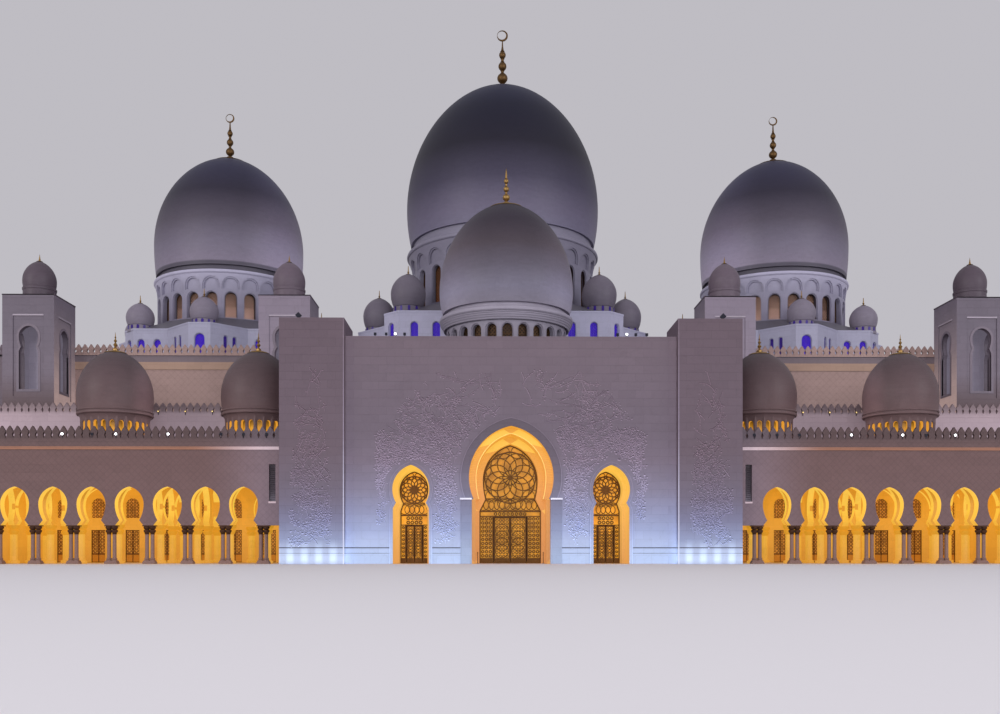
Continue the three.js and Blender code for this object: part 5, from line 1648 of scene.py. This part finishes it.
# areas are (x and z limits, number of vines, steps in each vine)
def addRelief(name, density, drift, areas, face, finish):
    chance = random.Random(vines["seed"] + len(name))
    found = {"stems": [], "leaves": [], "mirrored": [], "flowers": []}
    for (x0, x1, z0, z1), count, length in areas:
        for _ in range(count):
            for _ in range(40):
                spot = (chance.uniform(x0, x1), chance.uniform(z0, z1))
                if chance.random() * 0.9 < density(*spot):
                    growVine(chance, density, spot, drift, length, found)
                    break
    bm, stem, rise = bmesh.new(), bmesh.new(), vines["rise"]
    prism = Matrix.Rotation(math.pi / 2, 4, "Y")
    bmesh.ops.create_cone(stem, segments=4, radius1=1, radius2=1, depth=1, cap_ends=True, matrix=prism)
    bmesh.ops.transform(stem, matrix=Matrix.Diagonal((1, rise * 0.7, vines["stem"], 1)), verts=stem.verts)
    stamp(bm, stem, found["stems"])
    leaf, mirrored = [leafTemplate(vines["leaf"], vines["wide"], rise * 2.2) for _ in range(2)]
    stamp(bm, leaf, found["leaves"])
    bmesh.ops.scale(mirrored, vec=(1, 1, -1), verts=mirrored.verts)
    bmesh.ops.reverse_faces(mirrored, faces=mirrored.faces)
    stamp(bm, mirrored, found["mirrored"])
    stamp(bm, flowerTemplate(vines["flower"], rise * 2), found["flowers"])
    bmesh.ops.translate(bm, vec=(0, face, 0), verts=bm.verts)
    addPiece(name, bm, [finish])


pierAreas = [((19.4, 23.8, 2.0, 9.0), 90, 5), ((19.6, 23.6, 8.0, 20.0), 60, 6)]
wallAreas = [((5.9, 8.2, 2.2, 9.0), 50, 5), ((13.2, 14.4, 4.5, 9.0), 36, 5), ((5.0, 14.2, 9.0, 14.0), 130, 5)]
wallAreas += [((1.0, 12.0, 13.0, 20.5), 80, 5), ((1.0, 12.0, 12.5, 20.5), 26, 12)]


def mirroredAreas(sign, areas):
    return [((*span(sign, *limits[:2]), *limits[2:]), count, steps) for limits, count, steps in areas]


addPortalWall()
for name, sign in sides.items():
    addPier(name, sign)
    areas = mirroredAreas(sign, pierAreas)
    addRelief(f"{name}PierRelief", pierDensity, pierDrift, areas, portal["pierFace"], pierRelief)
    areas = mirroredAreas(sign, wallAreas)
    addRelief(f"{name}WallRelief", wallDensity, wallDrift, areas, portal["front"], reliefStone)
print("portal made")


# Gilded screens: rings and stars over amber glass, with a pair of doors in each. A transom is
# its (foot, head), and a rose is (height of its middle, radius).
screen = dict(front=6.3, depth=0.2, sheet=0.14, ring=0.1, star=0.46, bar=0.07, kick=0.6)
mainDoor = dict(half=1.9, head=5.3, gap=0.08, meet=0.03, stile=0.13, transom=(5.96, 7.28), rose=(9.75, 3.0))
sideDoor = dict(half=0.94, head=4.3, gap=0.08, meet=0.03, stile=0.09, transom=(5.5, 6.7), rose=(8.35, 1.62))


def rings(bm, centres, radius, bar, y0, y1, segments=32):
    template = bmesh.new()
    for r in (radius, radius - bar):
        place = Matrix.Translation((0, y0, 0)) @ Matrix.Rotation(math.pi / 2, 4, "X")
        bmesh.ops.create_circle(template, segments=segments, radius=r, matrix=place)
    thicken(template, y1 - y0)
    stamp(bm, template, [Matrix.Translation((x, i * 0.0016, z)) for i, (x, z) in enumerate(centres)])


def around(x, z, count, distance, offset=0.0):
    swing = [offset + 2 * math.pi * i / count for i in range(count)]
    return [(x + distance * math.cos(a), z + distance * math.sin(a)) for a in swing]


def addScreen(name, node, arch, x, door):
    bm, glass = bmesh.new(), bmesh.new()
    y0, y1 = screen["front"], screen["front"] + screen["sheet"]
    opening, wide = wider(arch, -0.004), arch["jamb"] - 0.1
    half, head, (low, high), bar = door["half"], door["head"], door["transom"], screen["ring"]
    wallSheet(bm, y0, y1, [archWindow(opening, x, 0, 16), archWindow(wider(opening, -0.13), x, 0.12, 16)])
    for z, tall in ((low - 0.12, 0.14), (high, 0.12), (head, 0.1)):
        reach = wide if z < arch["impost"] else arch["pinch"] + 0.05
        box(bm, x - reach, x + reach, y0 + 0.006, y1 - 0.006, z, z + tall)
    for side in (-1, 1):
        box(bm, *sorted([x + side * half, x + side * (half + 0.14)]), y0 - 0.02, y1, 0, head + 0.02)
    spacing = (high - low) * 0.46
    count = int(wide / spacing)
    row = [(x + spacing * i, (low + high) / 2) for i in range(-count, count + 1)]
    rings(bm, row, (high - low) / 2 - 0.02, 0.075, y0 + 0.02, y1 - 0.03, 28)
    z, size = door["rose"]
    rings(bm, around(x, z, 12, size * 0.5), size * 0.5, bar, y0 + 0.02, y1 - 0.03)
    rings(bm, [(x, z)], size * 0.98, bar * 1.2, y0, y1 - 0.02, 48)
    rings(bm, [(x, z)], size * 0.3, bar * 1.2, y0 + 0.01, y1 - 0.02)
    rings(bm, around(x, z, 12, size * 0.99, 0.26), size * 0.24, bar * 0.7, y0 + 0.03, y1 - 0.03, 20)
    stars = (screen["star"], screen["bar"], y0 + 0.02, 0.08)
    near, far, kick = half + 0.14, arch["jamb"] - 0.16, screen["kick"]
    for x0, x1 in ((x - far, x - near), (x + near, x + far)):
        starLattice(bm, x0, x1, kick + 0.02, head, *stars)
        box(bm, x0 - 0.04, x1 + 0.04, y0 + 0.01, y1 - 0.01, 0.1, kick)
    if head < low - 0.3:
        starLattice(bm, x - half, x + half, head + 0.1, low - 0.12, *stars)
    sheet = [archWindow(wider(opening, -0.02), x, 0, 16), rectangle(x - half, x + half, 0.02, head + 0.05)]
    wallSheet(glass, y1 + 0.01, y1 + 0.04, sheet)
    addPiece(f"{name}Lattice", bm, [screenGilt], replaces=[node])
    addPiece(f"{name}Pane", glass, [mainGlass if x == 0 else amberGlass])


# A door leaf: frame, kick panel, a column of rings over a lattice, handle and glass
def addLeaf(label, node, x, door, sign):
    bm, glass = bmesh.new(), bmesh.new()
    middle, kick = screen["front"] + screen["depth"] / 2, screen["kick"]
    y0, y1 = middle - 0.05, middle + 0.05
    x0, x1 = sorted([x + sign * door["meet"], x + sign * (door["half"] - door["gap"])])
    low, high, stile = 0.06, door["head"] - 0.06, door["stile"]
    left, right, top = x0 + stile, x1 - stile, high - stile
    wallSheet(bm, y0, y1, [rectangle(x0, x1, low, high), rectangle(left, right, kick, top)])
    panel = [rectangle(x0 + by, x1 - by, low + by, kick - by) for by in (0.06, 0.1)]
    wallSheet(bm, y0 - 0.02, y0 + 0.01, panel)
    starLattice(bm, left, right, kick, top, 0.4, 0.05, y0 + 0.015, 0.05)
    size = (x1 - x0) / 2 - stile
    count = int((top - kick - 2 * size) / (size * 1.02)) + 1
    column = [((x0 + x1) / 2, kick + size + i * size * 1.02) for i in range(count)]
    rings(bm, column, size, 0.07, y0 - 0.005, y0 + 0.03)
    grip = sorted([x + sign * (door["meet"] + 0.03), x + sign * (door["meet"] + 0.07)])
    box(bm, *grip, y0 - 0.07, y0 - 0.04, 1.3, 2.3)
    for z in (1.32, 2.24):
        box(bm, *grip, y0 - 0.05, y0 + 0.01, z, z + 0.04)
    box(glass, left - 0.02, right + 0.02, y1 - 0.03, y1 - 0.01, kick - 0.02, top + 0.02)
    addPiece(f"{label}Leaf", bm, [screenGilt], body=node, replaces=[node])
    addPiece(f"{label}LeafPane", glass, [mainGlass if x == 0 else amberGlass], body=node)


addScreen("mainScreen", "main_screen", mainSteps[2], 0, mainDoor)
addLeaf("mainLeft", "main_door_left", 0, mainDoor, -1)
addLeaf("mainRight", "main_door_right", 0, mainDoor, 1)
for name, sign in sides.items():
    addScreen(f"{name}Screen", f"side_screen_{name}", sideSteps[1], sign * sideX, sideDoor)
    for end, turn in (("a", -1), ("b", 1)):
        addLeaf(f"{name}Side{end.upper()}", f"side_door_{name}_{end}", sign * sideX, sideDoor, turn)
print("screens and doors made")


# Small fittings: posts by the great arch, floodlights on the parapets. A row of lamps has its
# y and z, and for each place along x whether the lamp there is lit.
post = [(0, 0), (0.1, 0), (0.1, 0.04), (0.035, 0.07), (0.035, 1.16), (0.06, 1.2), (0.06, 1.25), (0, 1.28)]
postPlace = (3.68, 4.7)
pierLamp = dict(place=(23, 0.7, 26.86), tilt=0.8, size=0.5)
arcadeLamps = {26.6: False, 29.1: False, 31.55: False, 37.25: True, 42.9: True, 45.5: False, 48.7: True}
portalLamps = {11.6: False, 12.6: True, 13.6: False, 14.8: False}
terraceLamps = {35.9 + 3.27 * i: True for i in range(4)}
lampRows = [(1.4, 14.1, arcadeLamps), (1.2, 25.0, portalLamps), (13.9, 18.3, terraceLamps)]
lampForm = dict(reach=0.14, depth=0.2, lens=0.13, stem=0.4, backFrom=10, backScale=0.6)


def addFittings():
    posts, lamps, housings, glows = [bmesh.new() for _ in range(4)]
    x, y, z = pierLamp["place"]
    for sign in (-1, 1):
        turned(posts, post, 12, sign * postPlace[0], postPlace[1])
        turn = Matrix.Translation((sign * x, y, z)) @ Matrix.Rotation(pierLamp["tilt"], 4, "Y")
        block = turn @ Matrix.Diagonal((1, 0.5, 1, 1))
        bmesh.ops.create_cube(housings, size=pierLamp["size"], matrix=block)
    oneSide = [(x, y, z, lit) for y, z, row in lampRows for x, lit in row.items()]
    spots = [(sign * x, y, z, lit) for sign in (-1, 1) for x, y, z, lit in oneSide]
    for x, y, z, lit in spots:
        far = y > lampForm["backFrom"]
        scale = lampForm["backScale"] if far else 1.0
        reach = lampForm["reach"] * scale
        box(housings, x - reach, x + reach, y, y + lampForm["depth"], z - reach, z + reach)
        box(housings, x - 0.03, x + 0.03, y + 0.02, y + 0.14, z - lampForm["stem"], z)
        if lit:
            place = Matrix.Translation((x, y - 0.02, z)) @ Matrix.Scale(lampForm["lens"] * scale, 4)
            lens = glows if far else lamps
            bmesh.ops.create_uvsphere(lens, u_segments=12, v_segments=8, radius=1, matrix=place)
    addPiece("archPosts", posts, [bronze])
    addPiece("lampHousings", housings, [shadeMetal])
    addPiece("lampLenses", lamps, [lampGlass])
    addPiece("terraceLenses", glows, [yellowLamp])


addFittings()


# The solids that stay: roofs, the wall over the portal and the vestibule, which is painted with the
# amber glow except on its outer faces, which are not lit
stayFinishes = {"vestibule": insideLitStone, "hall_roof": roofStone, "hall_front_wall_centre": wallStone}
stayFinishes.update({f"terrace_roof_{name}": roofStone for name in sides})
for node, finish in stayFinishes.items():
    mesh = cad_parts[node].data
    mesh.materials.clear()
    mesh.materials.append(finish)
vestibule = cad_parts["vestibule"].data
vestibule.materials.append(roofStone)
wide, _, tall = [max(abs(v.co[axis]) for v in vestibule.vertices) for axis in range(3)]
for face in vestibule.polygons:
    if face.center.z > tall - 0.002 or abs(face.center.x) > wide - 0.002:
        face.material_index = 1
print("fittings and finishes made")


# Stage, light and camera at the photograph's angle, with the camera's place in real metres
view = dict(yaw=0.0123, x=-2.56, back=107.6, height=1.4, lens=36, sensor=36, shift=0.194, far=500)
lights = {
    "keyLight": dict(place=(-28, -27, 11), target=(0, 0, 3), size=15, power=4370, colour=(1.0, 0.97, 0.95)),
    "fillLight": dict(place=(28, -27, 11), target=(0, 0, 3), size=15, power=4190, colour=(0.96, 0.96, 1.0)),
    "lowLight": dict(place=(0, -26, 3), target=(0, -4, 2), size=12, power=1400, colour=(0.92, 0.93, 1.0)),
}
studio = dict(floor=(0.72, 0.70, 0.72, 1), sky=(0.80, 0.78, 0.84, 1), strength=0.65, size=120, drop=0.002)


def addArea(name, place, target, size, power, colour):
    lamp = bpy.data.lights.new(name, "AREA")
    lamp.shape = "DISK"
    lamp.size = size
    lamp.energy = power
    lamp.color = colour
    light = bpy.data.objects.new(name, lamp)
    light.location = place
    light.rotation_euler = (Vector(target) - Vector(place)).to_track_quat("-Z", "Y").to_euler()
    scene.collection.objects.link(light)


def addStage():
    bm = bmesh.new()
    bmesh.ops.create_grid(bm, x_segments=1, y_segments=1, size=studio["size"])
    bmesh.ops.translate(bm, vec=(0, 0, -studio["drop"]), verts=bm.verts)
    mesh = bpy.data.meshes.new("studioFloor")
    bm.to_mesh(mesh)
    bm.free()
    floor = bpy.data.objects.new("studioFloor", mesh)
    finish = bpy.data.materials.new("floorPaint")
    finish.use_nodes = True
    shader = finish.node_tree.nodes["Principled BSDF"]
    shader.inputs["Base Color"].default_value = studio["floor"]
    shader.inputs["Roughness"].default_value = 0.9
    mesh.materials.append(finish)
    scene.collection.objects.link(floor)
    world = bpy.data.worlds.new("softStudio")
    world.use_nodes = True
    sky = world.node_tree.nodes["Background"]
    sky.inputs["Color"].default_value = studio["sky"]
    sky.inputs["Strength"].default_value = studio["strength"]
    scene.world = world


def addCamera():
    lens = bpy.data.cameras.new("photoCamera")
    lens.lens = view["lens"]
    lens.sensor_width = view["sensor"]
    lens.shift_y = view["shift"]
    lens.clip_end = view["far"]
    camera = bpy.data.objects.new("photoCamera", lens)
    camera.location = Vector((view["x"], -view["back"] - hallDepth / 2, view["height"])) * modelScale
    camera.rotation_euler = (math.pi / 2, 0, -view["yaw"])
    scene.collection.objects.link(camera)
    scene.camera = camera


addStage()
for name, light in lights.items():
    addArea(name, **light)
addCamera()
scene.view_settings.view_transform = "Standard"

print("scene ready")
